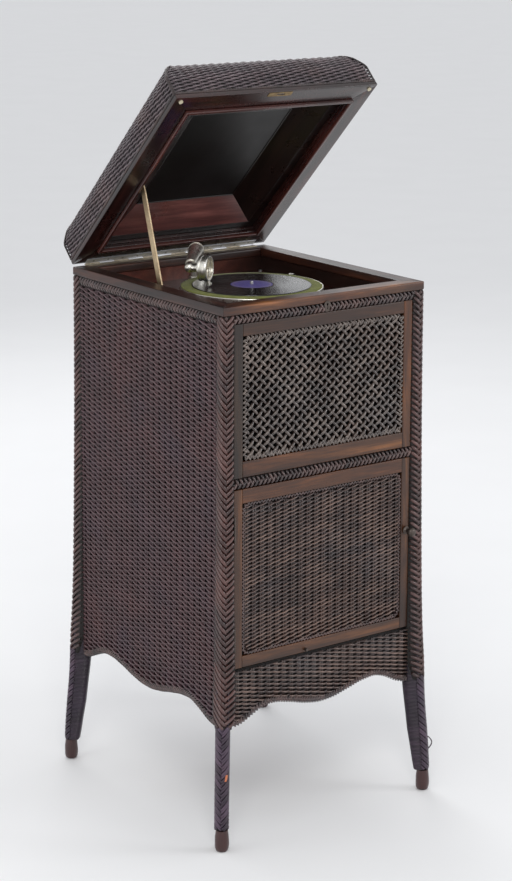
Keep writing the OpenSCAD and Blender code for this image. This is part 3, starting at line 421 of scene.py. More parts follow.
def tubes(g, P, r, ref, ns=5, flat=1.0, tone=0.5, hi=0.5, caps=True, closed=False, mat=0, turn=0.5, **at):
    """Round cords through the points P (strands, points, 3). flat squeezes them along ref."""
    P = np.asarray(P, float)
    if P.ndim == 2:
        P = P[None]
    T, N, _ = P.shape
    if closed:
        tan = norm(np.roll(P, -1, 1) - np.roll(P, 1, 1))
    else:
        tan = norm(np.gradient(P, axis=1))
    ref = np.broadcast_to(np.asarray(ref, float), P.shape)
    n1 = norm(ref - (ref * tan).sum(-1, keepdims=True) * tan)
    n2 = np.cross(tan, n1)
    a = 2 * PI * (np.arange(ns) + turn) / ns
    r = np.broadcast_to(np.asarray(r, float), (T, N))[..., None, None]
    V = P[:, :, None, :] + r * (n1[:, :, None, :] * (np.cos(a) * flat)[:, None] + n2[:, :, None, :] * np.sin(a)[:, None])
    base = (np.arange(T)[:, None] * N + np.arange(N)[None]) * ns
    b0 = base if closed else base[:, :-1]
    b1 = np.roll(base, -1, 1) if closed else base[:, 1:]
    j, j1 = np.arange(ns), (np.arange(ns) + 1) % ns
    Q = np.stack([b0[..., None] + j, b0[..., None] + j1, b1[..., None] + j1, b1[..., None] + j], -1).reshape(-1, 4)
    tri = None
    if caps and not closed:
        k = np.arange(1, ns - 1)
        s0, e0 = base[:, 0][:, None], base[:, -1][:, None]
        tri = np.concatenate([np.stack([s0 + 0 * k, s0 + k + 1, s0 + k], -1).reshape(-1, 3), np.stack([e0 + 0 * k, e0 + k, e0 + k + 1], -1).reshape(-1, 3)])
    def spread(v):
        v = np.asarray(v, float)
        if v.ndim == 0:
            return float(v)
        if v.ndim == 1:
            v = np.repeat(v[:, None], N, 1)
        return np.repeat(v.reshape(-1), ns)
    # crest paints a highlight on the outward side of each cord and painted shade on its inward side
    crest = np.broadcast_to((np.cos(a) * 0.22)[None, None], (T, N, ns)).reshape(-1)
    h = spread(hi)
    g.add(V.reshape(-1, 3), Q, tri, mat, tone=spread(tone), hi=np.clip(h + crest, 0, 1), **at)
    return g

def lathe(g, prof, seg=64, M4=None, mat=0, wave=None, **at):
    """Turned solid about +z from a closed list of (radius, height); M4 places it."""
    prof = np.asarray(prof, float)
    n = len(prof)
    a = 2 * PI * np.arange(seg) / seg
    V = np.zeros((n, seg, 3))
    rr = prof[:, 0][:, None] * np.ones(seg)
    if wave is not None:
        rr = rr + wave(prof[:, 0][:, None], prof[:, 1][:, None], a[None])
    V[..., 0], V[..., 1], V[..., 2] = rr * np.cos(a), rr * np.sin(a), prof[:, 1][:, None]
    i = np.arange(n)
    i1 = (i + 1) % n
    keep = ~((prof[i, 0] < 1e-6) & (prof[i1, 0] < 1e-6))
    i, i1 = i[keep], i1[keep]
    j, j1 = np.arange(seg), (np.arange(seg) + 1) % seg
    Q = np.stack(np.broadcast_arrays(i[:, None] * seg + j, i[:, None] * seg + j1, i1[:, None] * seg + j1, i1[:, None] * seg + j), -1)
    gc = np.stack([rr, np.broadcast_to(a, rr.shape), V[..., 2]], -1).reshape(-1, 3) / np.array([1000, 1, 1000])
    # close the poles
    quads, tris = [], []
    for q, (p, p1) in zip(Q, zip(i, i1)):
        if prof[p, 0] < 1e-6:
            tris.append(np.stack([np.full(seg, p * seg), q[:, 2], q[:, 3]], -1))
        elif prof[p1, 0] < 1e-6:
            tris.append(np.stack([q[:, 0], q[:, 1], np.full(seg, p1 * seg)], -1))
        else:
            quads.append(q)
    V = V.reshape(-1, 3)
    if M4 is not None:
        V = V @ M4[:3, :3].T + M4[:3, 3]
    # direction of the profile decides which way the faces look
    area = np.sum(prof[:, 0] * np.roll(prof[:, 1], -1) - np.roll(prof[:, 0], -1) * prof[:, 1])
    Q = np.concatenate(quads) if quads else None
    T = np.concatenate(tris) if tris else None
    if area < 0:
        Q = Q[:, ::-1] if Q is not None else None
        T = T[:, ::-1] if T is not None else None
    at.setdefault("gc", gc)
    g.add(V, Q, T, mat, **at)
    return g

def tr(x, y, z):
    m = np.eye(4)
    m[:3, 3] = (x, y, z)
    return m
def rz(d):
    c, s = math.cos(math.radians(d)), math.sin(math.radians(d))
    return np.array([[c, -s, 0, 0], [s, c, 0, 0], [0, 0, 1, 0], [0, 0, 0, 1.0]])
def ry(d):
    c, s = math.cos(math.radians(d)), math.sin(math.radians(d))
    return np.array([[c, 0, s, 0], [0, 1, 0, 0], [-s, 0, c, 0], [0, 0, 0, 1.0]])
def rx(d):
    c, s = math.cos(math.radians(d)), math.sin(math.radians(d))
    return np.array([[1, 0, 0, 0], [0, c, -s, 0], [0, s, c, 0], [0, 0, 0, 1.0]])
def app(m, V):
    return np.asarray(V, float) @ m[:3, :3].T + m[:3, 3]

def bar(g, lo, hi, axis, r=2.0, nl=10, ends=None, place=None, mat=0, tint=(1, 1, 1), seed=0.0, wave=0.25, cham=1.0):
    """A planed and rubbed wooden member along one axis, with rounded arrises.
    ends(a, b) gives how far each end is cut back at section point (a, b), for mitres."""
    lo, hi = np.asarray(lo, float), np.asarray(hi, float)
    o = [i for i in range(3) if i != axis]
    A0, A1, B0, B1 = lo[o[0]], hi[o[0]], lo[o[1]], hi[o[1]]
    sec, ed = [], []
    for cx, cy, a0 in ((A1 - r, B1 - r, 0), (A0 + r, B1 - r, 90), (A0 + r, B0 + r, 180), (A1 - r, B0 + r, 270)):
        for k in range(4):
            t = math.radians(a0 + 30 * k)
            sec.append((cx + r * math.cos(t), cy + r * math.sin(t)))
            ed.append(1.0)
        # a point in the middle of the next flat keeps the edge wear near the edge
    S, E = np.array(sec), np.array(ed)
    S2, E2 = [], []
    for i in range(len(S)):
        S2.append(S[i]); E2.append(1.0)
        if i % 4 == 3:
            nx = S[(i + 1) % len(S)]
            d = nx - S[i]
            L = np.linalg.norm(d)
            k = min(3.0, L * 0.3) / max(L, 1e-6)
            for q in (k, 0.5, 1 - k):
                S2.append(S[i] + d * q); E2.append(0.25 if q == 0.5 else 0.45)
    S, E = np.array(S2), np.array(E2)
    n = len(S)
    c = S.mean(0)
    u = np.linspace(0, 1, nl + 1)
    rings = [(0.0, cham, True)] + [(x, 0.0, False) for x in u] + [(1.0, cham, True)]
    V, edge, gc = [], [], []
    for x, inset, cap in rings:
        e0, e1 = (0.0, 0.0) if ends is None else (ends(S[:, 0], S[:, 1])[0], ends(S[:, 0], S[:, 1])[1])
        L0, L1 = lo[axis] + e0, hi[axis] - e1
        if cap:
            pos = L0 if x == 0 else L1
            P = c + (S - c) * (1 - inset / max(1.0, 0.5 * min(A1 - A0, B1 - B0)))
        else:
            pos = (L0 + cham * 0.6) * (1 - x) + (L1 - cham * 0.6) * x
            P = S + (wave * np.sin(x * 9.0 + S[:, :1] * 0.05 + seed)) * 0.15
        v = np.zeros((n, 3))
        v[:, axis] = pos
        v[:, o[0]], v[:, o[1]] = P[:, 0], P[:, 1]
        V.append(v)
        edge.append(np.clip(E + (0.4 if cap or x in (0.0, 1.0) else 0), 0, 1))
        gc.append(np.stack([v[:, axis] / 1000 + seed, (v[:, o[0]] - A0) / 1000 + seed * 0.37, (v[:, o[1]] - B0) / 1000], -1))
    V = np.array(V)
    m = len(V)
    base = np.arange(m)[:, None] * n
    j, j1 = np.arange(n), (np.arange(n) + 1) % n
    Q = np.stack([base[:-1] + j, base[:-1] + j1, base[1:] + j1, base[1:] + j], -1).reshape(-1, 4)
    k = np.arange(1, n - 1)
    T = np.concatenate([np.stack([0 * k, k + 1, k], -1), np.stack([(m - 1) * n + 0 * k, (m - 1) * n + k, (m - 1) * n + k + 1], -1)])
    flip = (axis == 1)
    if flip:
        Q, T = Q[:, ::-1], T[:, ::-1]
    P = V.reshape(-1, 3)
    if callable(tint):
        tint = np.array([tint(p) for p in P])
    if place is not None:
        P = place(P)
    g.add(P, Q, T, mat, edge=np.concatenate(edge), gc=np.concatenate(gc), tint=tint)
    return g

# ------------------------------------------------------------------ surfaces that cords lie on
class Surf:
    """f(u, v, n) carries panel coordinates and a height to space; nrm(u, v) is its outward normal."""
    def __init__(s, f, nrm):
        s.f, s.nrm = f, nrm

def plane(o, U, W, N):
    o, U, W, N = (np.asarray(x, float) for x in (o, U, W, N))
    return Surf(lambda u, v, n: o + u[..., None] * U + v[..., None] * W + n[..., None] * N, lambda u, v: N + 0 * u[..., None] * N)

def runs(mask):
    d = np.diff(np.concatenate([[0], mask.astype(int), [0]]))
    return list(zip(np.where(d == 1)[0], np.where(d == -1)[0]))

def twine(g, S, rows, span, h, r, flat, an, az, n0, inside=None, seg=4, ns=5, phase=0.0, wob=0.25, tone=0.5, spread=0.22, sgn=1, off=0.0):
    """Rows of two cords that cross between stakes a distance h apart."""
    for k, v in enumerate(rows):
        a, b = span(v) if callable(span) else span
        if b - a < h * 0.7:
            continue
        cnt = max(3, int(round((b - a) / h * seg)) + 1)
        u = np.linspace(a, b, cnt)
        w = PI * (u - phase) / h
        dv = wob * np.sin(u / 47.0 + k * 1.7) + wob * 0.6 * np.sin(u / 19.0 + k * 2.9)
        ok = np.ones(cnt, bool) if inside is None else inside(u, v)
        tk = tone + spread * (rng.random() - 0.5)
        for side in (1, -1):
            n = side * an * np.cos(w)
            z = v + side * off + sgn * side * az * np.sin(w) + dv
            P = S.f(u, z, n0 + n)
            R = S.nrm(u, z)
            # painted light: hi is high where a cord crosses in front of an upright, a painted highlight, and low where
            # it passes behind, painted shade
            hi = 0.5 + 0.42 * side * np.cos(w)
            to = tk + spread * 0.5 * np.interp(u, np.linspace(a, b, 9), rng.random(9) - 0.5)
            for i, j in runs(ok):
                if j - i >= 3:
                    tubes(g, P[None, i:j], r, R[None, i:j], ns, flat, tone=to[None, i:j], hi=hi[None, i:j])
    return g

def stakes(g, S, us, v0, v1, r, n0, step=12.0, inside=None, ns=5, mat=0):
    for u in us:
        a, b = (v0(u) if callable(v0) else v0), (v1(u) if callable(v1) else v1)
        if b - a < 4:
            continue
        v = np.linspace(a, b, max(3, int((b - a) / step) + 1))
        uu = u + 0 * v
        # hi=0.22 darkens the uprights, painted shade for their place below the cords
        tubes(g, S.f(uu, v, n0 + 0 * v)[None], r, S.nrm(uu, v)[None], ns, tone=0.35 + 0.3 * rng.random(), hi=0.22, mat=mat)
    return g

def vbraid(g, S, s0, s1, pitch, tL, tC, tR, dL, dR, cords, r, n0, ns=5, seg=9, tone=0.5, spread=0.3, lift=None, width=None, swap=False, mat=0, fn=1.0):
    """A plait whose arms come in from both edges and tuck under each other along the line t = tC.
    s runs along the plait, t across it. dL and dR are how far along an arm runs while it crosses."""
    lift = r * 0.95 if lift is None else lift
    q = np.linspace(0, 1, seg)
    prof = np.interp(q, [0, 0.14, 0.35, 0.72, 1.0], [-1.0, 0.35, 1.0, 0.9, -1.3])
    n = int(round(abs(s1 - s0) / pitch))
    sg = 1.0 if s1 > s0 else -1.0
    p = abs(s1 - s0) / max(n, 1)
    for side, tE, d in ((0, tL, dL), (1, tR, dR)):
        alpha = math.atan2(abs(tC - tE), d)
        step = 2 * r * 0.98 / max(math.sin(alpha), 0.2)
        for k in range(-1, n + 1):
            for c in range(cords):
                off = (c - (cords - 1) / 2) * step
                st = s0 + sg * (k * p + (0.5 * p if side else 0.0) + off + d * q * 1.0)
                over = 1.6 * r * (1 if tC > tE else -1)
                t = tE + (tC + over - tE) * q
                lo, hi_ = min(s0, s1), max(s0, s1)
                ok = (st >= lo - 0.01) & (st <= hi_ + 0.01)
                if ok.sum() < 3:
                    continue
                if width is not None:
                    w = width(st)
                    t = t * w
                nn = n0 + lift * prof
                if swap:
                    P, R = S.f(t, st, nn), S.nrm(t, st)
                else:
                    P, R = S.f(st, t, nn), S.nrm(st, t)
                # painted light: hi darkens the tucked ends as painted shade and lightens the crest as a painted
                # highlight
                hi = np.interp(prof, [-1.3, 1.0], [0.1, 0.85])
                for i, j in runs(ok):
                    if j - i >= 3:
                        tubes(g, P[None, i:j], r, R[None, i:j], ns, fn, tone=tone + spread * (rng.random() - 0.5), hi=hi[None, i:j], mat=mat)
    return g

def twist(g, S, s0, s1, lead, t0, r, n0, strands=2, ns=5, per=7, tone=0.5, spread=0.25, swap=False, R=None, mat=0):
    """A cord laid up from strands that turn about each other."""
    R = r * 0.95 if R is None else R
    N = max(8, int(abs(s1 - s0) / lead * per))
    s = np.linspace(s0, s1, N)
    for k in range(strands):
        a = 2 * PI * (s - s0) / lead + 2 * PI * k / strands
        t, n = t0 + R * np.cos(a), n0 + R * np.sin(a)
        P, Rr = (S.f(t, s, n), S.nrm(t, s)) if swap else (S.f(s, t, n), S.nrm(s, t))
        # painted light: hi lightens each strand where it turns outward and darkens it where it turns inward
        tubes(g, P[None], r, Rr[None], ns, tone=tone + spread * (rng.random() - 0.5), hi=(0.5 + 0.4 * np.sin(a))[None], mat=mat)
    return g

# ------------------------------------------------------------------ cabinet: cores of posts and legs
HX, HY = 256.0, 282.0
FLARE = ([252, 300, 331, 359, 387, 443, 498, 580, 662, 824, 985], [11.8, 10.6, 9.0, 7.9, 6.9, 5.5, 4.6, 3.4, 2.5, 0.8, 0.0])
def flare(z):
    return np.interp(z, *FLARE)
ZL = [45, 60, 98, 137, 175, 212, 250, 275, 300]
def narrow(z):
    """How far the inner edges of a post's faces draw in where it runs into the leg."""
    return np.interp(z, [252, 300], [11.0, 0.0])
def ridge_out(z):
    return np.interp(z, ZL, [30.3, 30.0, 27.7, 24.6, 20.7, 18.0, 16.3, 16.0, 15.0])
def ridge_in(z):
    return np.interp(z, [45, 61, 99, 137, 175, 250, 300], [14.8, 14.0, 11.0, 8.0, 4.9, 1.8, 0.0])
def blade_in(z):
    return np.interp(z, [45, 63, 100, 137, 175, 217, 250, 300], [-4.0, -7.5, -13.5, -20.0, -24.4, -29.7, -33.3, -36.0])
def scallop(t):
    t = np.clip(np.abs(t), 0, 1)
    return np.where(t < 0.6, 256 + 12.5 * (1 - np.cos(PI * t / 0.6)), 281 - 15.5 * (1 - np.cos(PI * (t - 0.6) / 0.4)))

CORNERS = [(1, 1), (1, -1), (-1, 1), (-1, -1)]
LT = math.radians(47.0)

def loft(g, rings, mat=0, flip=False, caps=True, **at):
    """Closed skin through equal rings of points, with flat ends."""
    R = np.asarray(rings, float)
    m, n, _ = R.shape
    base = np.arange(m)[:, None] * n
    j, j1 = np.arange(n), (np.arange(n) + 1) % n
    Q = np.stack([base[:-1] + j, base[:-1] + j1, base[1:] + j1, base[1:] + j], -1).reshape(-1, 4)
    T = None
    if caps:
        k = np.arange(1, n - 1)
        T = np.concatenate([np.stack([0 * k, k + 1, k], -1), np.stack([(m - 1) * n + 0 * k, (m - 1) * n + k, (m - 1) * n + k + 1], -1)])
    if flip:
        Q = Q[:, ::-1]
        T = T[:, ::-1] if T is not None else None
    g.add(R.reshape(-1, 3), Q, T, mat, **at)
    return g

def legmap(sx, sy, d, w, z):
    """Outward distance d and sideways distance w of a leg to space."""
    c, s = math.cos(LT), math.sin(LT)
    x = HX + d * c - w * s
    y = HY + d * s + w * c
    return np.stack([sx * x, sy * y, z + 0 * d], -1)

g = Geo()
for sx, sy in CORNERS:
    zs = [252.0, 268, 284, 300.0, 331, 359, 387, 443, 498, 572.9, 573, 603, 603.1, 662, 740, 824, 900, 985, 1101.9]
    rings = []
    for z in zs:
        f = float(flare(z))
        X, Y = HX + f - 2.4, HY + f - 2.4
        deep = 5.0 if (sx > 0 and sy < 0 and 573 <= z <= 603) else 0.0
        w_ = float(narrow(z))
        pts = [(230 + w_, 256 + w_), (X, 256 + w_)]
        pts += [(X - 5 + 5 * math.cos(a), Y - 5 + 5 * math.sin(a)) for a in np.radians([0, 30, 60, 90])]
        pts += [(230 + w_, Y), (230 + w_, 263.4 + w_), (230 + deep + w_, 263.4 + w_), (230 + deep + w_, 258 + w_), (230 + w_, 258 + w_)]
        rings.append([(sx * x, sy * y, z) for x, y in pts])
    loft(g, rings, flip=sx * sy < 0)
    rings = []
    for z in [45.1, 60, 80, 98, 118, 137, 156, 175, 195, 212, 231, 249.5, 249.6, 262]:
        ro, ri, bi = float(ridge_out(z)), float(ridge_in(z)), float(blade_in(z))
        a = np.radians(np.linspace(-80, 80, 9))
        d = np.concatenate([[bi + 5, bi + 2], [bi + 2, bi + 5], [ri], ro - 5.5 - 12.0 * (1 - np.cos(a)) , [ri]])
        w = np.concatenate([[-10.0, -7], [7, 10.0], [10.0], -13.0 * np.sin(a[::1]) * -1, [-10.0]])
        # run round the section: inner edge, one side, outer half round, other side
        d = np.concatenate([[bi + 2, bi + 2, bi + 5, ri], (ro - 5.5 - 12.0 * (1 - np.cos(a)))[::-1], [ri, bi + 5]])
        w = np.concatenate([[-7, 7, 10.0, 10.0], (13.0 * np.sin(a))[::-1], [-10.0, -10.0]])
        P = legmap(1, 1, d, w, z)
        if z > 249.55:
            P[:, 0], P[:, 1] = np.maximum(P[:, 0], 230.0), np.maximum(P[:, 1], 256.0)
        rings.append(P * np.array([sx, sy, 1]))
    loft(g, rings, flip=sx * sy > 0)
build("post_cores", g, "cabinet", ["core"], ["corner_posts"])

RC = 7.0
AL = RC * PI / 4
def post_surface(sx, sy):
    """t runs round the corner: negative on the front or back face, positive on the side face."""
    def frame_(t, z):
        f = flare(z)
        X, Y = HX + f, HY + f
        t = t * (1 + np.where(np.abs(t) > 8.5, (np.abs(t) - 8.5) / np.maximum(np.abs(t), 1e-6), 0) * f / 16.0)
        t = np.clip(t, -25.5 - f + narrow(z), 25.5 + f - narrow(z))
        ph = PI / 4 + np.clip(t, -AL, AL) / RC
        nx, ny = np.sin(ph), np.cos(ph)
        ext = np.maximum(np.abs(t) - AL, 0)
        x = X - RC + RC * nx - np.where(t < 0, ext, 0)
        y = Y - RC + RC * ny - np.where(t > 0, ext, 0)
        return x, y, nx, ny
    def f(t, z, n):
        x, y, nx, ny = frame_(t, z)
        return np.stack([sx * (x + nx * n), sy * (y + ny * n), z + 0 * x], -1)
    def nrm(t, z):
        x, y, nx, ny = frame_(t, z)
        return np.stack([sx * nx, sy * ny, 0 * nx], -1)
    return Surf(f, nrm)

def plait(g, S, s0, s1, pitch, tE, tC, d, cords, r, n0, half=0.0, ns=5, seg=9, lift=None, tone=0.5, spread=0.3, swap=True, step=None, mat=0, fn=1.0):
    """One side's arms of a plait, from the edge tE in to the line tC."""
    lift = r * 0.9 if lift is None else lift
    q = np.linspace(0, 1, seg)
    prof = np.interp(q, [0, 0.12, 0.35, 0.74, 1.0], [-1.2, 0.3, 1.0, 0.8, -1.4])
    n = int(round(abs(s1 - s0) / pitch))
    sg = 1.0 if s1 > s0 else -1.0
    p = abs(s1 - s0) / max(n, 1)
    alpha = math.atan2(abs(tC - tE), d)
    step = p / cords if step is None else step
    lo, hi_ = min(s0, s1), max(s0, s1)
    for k in range(-4, n + 2):
        tk = tone + spread * (rng.random() - 0.5)
        for c in range(cords):
            st = s0 + sg * ((k + half) * p + (c - (cords - 1) / 2) * step + d * q)
            t = tE + (tC + 1.4 * r * np.sign(tC - tE) - tE) * q + 0.25 * np.sin(q * 5 + k)
            nn = n0 + lift * prof
            ok = (st >= lo - 0.01) & (st <= hi_ + 0.01)
            for i, j in runs(ok):
                if j - i >= 3:
                    P, R = (S.f(t, st, nn), S.nrm(t, st)) if swap else (S.f(st, t, nn), S.nrm(st, t))
                    # painted light: hi darkens the tucked ends as painted shade and lightens the crest as a painted
                    # highlight
                    hi = np.interp(prof, [-1.4, 1.0], [0.12, 0.85])
                    tubes(g, P[None, i:j], r, R[None, i:j], ns, fn, tone=tk + 0.12 * (rng.random() - 0.5), hi=hi[None, i:j], mat=mat)
    return g

for sx, sy in CORNERS:
    g = Geo()
    S = post_surface(sx, sy)
    top, bot = 1101.0, 256.0
    # front or back face arms, short and steep; side face arms, long and slanting
    plait(g, S, top, bot, 12.9, -24.3, -8.5, 18.0, 1, 3.55, -2.5, seg=9, lift=2.3, spread=0.6, ns=7, fn=0.9)
    plait(g, S, top, bot, 12.9, 23.8, -8.5, 44.0, 1, 3.5, -2.6, half=0.5, seg=14, lift=2.3, spread=0.6, ns=7, fn=0.9)
    # legs: plait on the outer ridge
    def leg_f(t, z, n, sx=sx, sy=sy):
        a = t / 13.0
        ro = ridge_out(z)
        d = ro - 4.6 - 13.0 * (1 - np.cos(a)) + n * np.cos(a)
        w = (13.0 + n) * np.sin(a)
        return legmap(1, 1, d, w, z) * np.array([sx, sy, 1.0])
    def leg_n(t, z, sx=sx, sy=sy):
        a = t / 13.0
        c, s = math.cos(LT), math.sin(LT)
        return np.stack([sx * (np.cos(a) * c - np.sin(a) * s), sy * (np.cos(a) * s + np.sin(a) * c), 0 * a], -1)
    L = Surf(leg_f, leg_n)
    for tE, half in ((-19.0, 0.0), (19.0, 0.5)):
        plait(g, L, 262.0, 46.5, 14.2, tE, 0.0, 29.0, 2, 2.6, -0.1, half=half, seg=9, lift=2.1, ns=6, mat=1, step=5.6, spread=0.6)
    # wraps round the blade
    zz = np.arange(48.0, 336.0, 3.1)
    ro, ri, bi = ridge_out(zz), ridge_in(zz), blade_in(zz)
    bi = bi + np.maximum(zz - 249.0, 0) * (blade_in(249.0) - blade_in(215.0)) / 34.0
    k = np.linspace(-1, 1, 13)
    w = 11.4 * np.sign(k) * np.minimum(np.abs(k) * 2.6, 1.0) ** 0.7
    d = bi[:, None] + 1.9 + (ri + 3 - bi - 1.9)[:, None] * np.clip((np.abs(k) - 0.22) / 0.78, 0, 1)[None] ** 1.1
    P = legmap(1, 1, d, w[None] + 0 * d, zz[:, None] + 0 * d + 0.3 * k[None]) * np.array([sx, sy, 1.0])
    c, s = math.cos(LT), math.sin(LT)
    out = norm(np.stack([np.where(np.abs(k) < 0.3, -c, -s * np.sign(k)) * sx, np.where(np.abs(k) < 0.3, -s, c * np.sign(k)) * sy, 0 * k], -1))
    tubes(g, P, 1.72, np.broadcast_to(out[None], P.shape), 5, 1.0, tone=0.42 + 0.3 * (rng.random(len(zz)) - 0.5), hi=0.5, mat=1)
    if (sx, sy) == (-1, -1):
        # a chip that shows the bare cord
        zc = np.linspace(163, 150, 7)
        tc = np.linspace(9.5, 7.0, 7)
        tubes(g, L.f(tc, zc, 2.6 + np.sin(np.linspace(0, PI, 7)) * 0.6)[None], 3.0, L.nrm(tc, zc)[None], 6, 0.6, tone=0.6, hi=0.7, mat=2)
    if (sx, sy) == (1, -1):
        # a strand that has come loose on the front right leg
        u = np.linspace(0, 1, 16)
        P = np.stack([sx * (HX + 21 + 9.0 * np.sin(PI * u)), sy * (HY + 14 + 3.0 * np.sin(PI * u)), 118 - 30 * u], -1)
        tubes(g, P[None], 1.3, np.array([0, 0, 1.0]) + np.zeros_like(P), 6, tone=0.7, hi=0.6, mat=1)
    build("post_plait_%s%s" % ("r" if sx > 0 else "l", "b" if sy > 0 else "f"), g, "cabinet", ["reed_post", "reed_leg_painted_shade", "bare_reed"], ())

# ------------------------------------------------------------------ woven skins
def uv_of(a, b):
    return lambda V: V[:, [a, b]]

PANELS = {
    "left": (plane((-HX, 0, 0), (0, 1, 0), (0, 0, 1), (-1, 0, 0)), 255.9, "wicker_left", 1101.5),
    "right": (plane((HX, 0, 0), (0, -1, 0), (0, 0, 1), (1, 0, 0)), 255.9, "wicker_right", 1101.5),
    "back": (plane((0, HY, 0), (1, 0, 0), (0, 0, 1), (0, 1, 0)), 229.9, "wicker_back", 1101.5),
    "front": (plane((0, -HY, 0), (-1, 0, 0), (0, 0, 1), (0, -1, 0)), 229.9, "wicker_apron", 366.5),
}
for nm, (S, half, node, ztop) in PANELS.items():
    edge = lambda u, half=half: scallop(np.abs(u) / half)
    fine = nm == "front"
    h, P, r = (19.6, 8.6, 1.95) if fine else (21.0, 10.45, 2.2)
    top = ztop - 2.0 if fine else 1081.0
    rows = np.arange(top - P / 2, 254.0, -P)
    g = Geo()
    def inside(u, v, half=half, edge=edge):
        return v > edge(u) + 9.0
    sp_ = half - 1.0
    twine(g, S, rows, (-sp_, sp_), h, r, 0.85, 1.8, P / 4 - 0.45, -3.6, off=P / 4, inside=inside, seg=4, ns=5, phase=h * 0.13, wob=0.3, spread=0.25)
    us = np.arange(-math.floor(sp_ / h) * h, sp_, h) + h * 0.13
    for d_ in (-2.6, 2.6):
        # the uprights are laid in pairs, which leaves small square holes between them
        stakes(g, S, us + d_, lambda u, edge=edge: float(edge(u)) + 6, top + 1, 2.5, -5.3, step=40, ns=6)
    # near-black sheet behind the weave, painted shade for the dark inside seen through the holes
    n_ = 40
    uu_ = np.linspace(-half + 0.4, half - 0.4, n_)
    rings = []
    for q in uu_:
        e_ = float(edge(q)) + 3.0
        q = np.array([q])
        rings.append([S.f(q, np.array([z_]), np.array([m_]))[0] for z_, m_ in ((e_, -7.9), (top + 2, -7.9), (top + 2, -7.2), (e_, -7.2))])
    loft(g, rings, mat=1)
    ax = 1 if nm in ("left", "right") else 0
    build("weave_" + nm, g, "cabinet", ["reed_side" if not fine else "reed_door", "liner_painted_shade"], [node], uv=uv_of(ax, 2))

    # plaited lower border that follows the scallop, and the band under the rim
    g = Geo()
    dz = lambda u, half=half: (scallop(np.abs(u + 0.5) / half) - scallop(np.abs(u - 0.5) / half))
    def bf(s, t, n, S=S, half=half, dz=dz):
        sl = dz(s)
        k = 1 / np.sqrt(1 + sl * sl)
        return S.f(s - t * sl * k, scallop(np.abs(s) / half) + 6.4 + t * k, n)
    B = Surf(bf, S.nrm)
    for tE, hf in ((-6.4, 0.0), (6.4, 0.5)):
        plait(g, B, -half + 1, half - 1, 6.6, tE, 0.0, 8.5, 1, 2.2, -3.2, half=hf, seg=7, lift=1.5, swap=False, spread=0.5)
    # a straight core behind the border
    n_ = 60
    u = np.linspace(-half + 0.5, half - 0.5, n_)
    rings = []
    for q in u:
        q = np.array([q])
        c4 = [B.f(q, np.array([t]), np.array([m_]))[0] for t, m_ in ((-4.5, -6.5), (4.5, -6.5), (4.5, -3.4), (-4.5, -3.4))]
        rings.append(c4)
    loft(g, rings, mat=1)
    if nm != "front":
        for tE, hf in ((1084.6, 0.0), (1101.2, 0.5)):
            plait(g, S, -half + 1, half - 1, 10.2, tE, 1092.9, 8.0, 1, 2.55, -2.8, half=hf, seg=7, lift=1.7, swap=False, spread=0.5)
        lo_ = {"left": (-252.6, -half, 1082), "right": (248.2, -half, 1082), "back": (-half, 274.2, 1082)}[nm]
        hi_ = {"left": (-248.2, half, 1101.8), "right": (252.6, half, 1101.8), "back": (half, 278.6, 1101.8)}[nm]
        bar(g, lo_, hi_, ax, r=0.6, nl=2, mat=1)
    build("border_" + nm, g, "cabinet", ["reed_braid", "core"], ())

# ------------------------------------------------------------------ front rails
g = Geo()
for z0, z1 in ((1084, 1101.9), (748, 768)):
    bar(g, (-229.8, -277.0, z0 + 0.2), (229.8, -258.0, z1 - 0.2), 0, r=0.8, nl=4, mat=1)
bar(g, (-229.8, -273, 340), (229.8, -258, 368.9), 0, r=0.8, nl=4, mat=1)
S = plane((0, -281.5, 0), (1, 0, 0), (0, 0, 1), (0, -1, 0))
for z0, z1 in ((1084.4, 1101.4), (748.4, 767.6)):
    for tE, hf in ((z0, 0.0), (z1, 0.5)):
        plait(g, S, -229.5, 229.5, 10.4, tE, (z0 + z1) / 2, 8.5, 1, 2.65, -1.9, half=hf, seg=7, lift=1.8, swap=False, spread=0.5)
build("front_rail_plaits", g, "cabinet", ["reed_braid", "core"], ["front_rails"])

def lerp(stops, key):
    xs = [s_[0] for s_ in stops]
    C = np.array([s_[1] for s_ in stops])
    return lambda p: tuple(np.interp(p[key], xs, C[:, i]) for i in range(3))
# ------------------------------------------------------------------ rim frame, four mitred members
def ring_of_bars(g, hx, hy, z0, z1, w, r=2.2, place=None, tints=None, mat=0, gap=0.12, nl=14, wave=0.25):
    tints = tints or [(1, 1, 1)] * 4
    def mitre(outer, sign):
        def ends(a, b):
            e = np.abs(outer - a * sign) + gap
            return e, e
        return ends
    bar(g, (-hx, -hy, z0), (hx, -hy + w, z1), 0, r, nl, mitre(hy, -1), place, mat, tints[0], 0.13, wave)
    bar(g, (-hx, hy - w, z0), (hx, hy, z1), 0, r, nl, mitre(hy, 1), place, mat, tints[1], 0.71, wave)
    bar(g, (-hx, -hy, z0), (-hx + w, hy, z1), 1, r, nl, mitre(hx, -1), place, mat, tints[2], 1.37, wave)
    bar(g, (hx - w, -hy, z0), (hx, hy, z1), 1, r, nl, mitre(hx, 1), place, mat, tints[3], 2.05, wave)
    return g
g = Geo()
ring_of_bars(g, 256, 282, 1102.0, 1120.0, 40, r=2.4, tints=[lerp([(-256, (0.9, 0.8, 0.75)), (-150, (3.2, 3.7, 2.4)), (40, (2.0, 2.0, 1.4)), (180, (4.6, 5.6, 3.6)), (256, (2.0, 2.0, 1.6))], 0), (1, 1, 1), (0.95, 0.9, 0.9), (1.1, 1.0, 0.95)])
build("rim_members", g, "cabinet", ["rim_wood"], ["rim_frame"], use=("edge", "gc", "tint"), sharp=42)

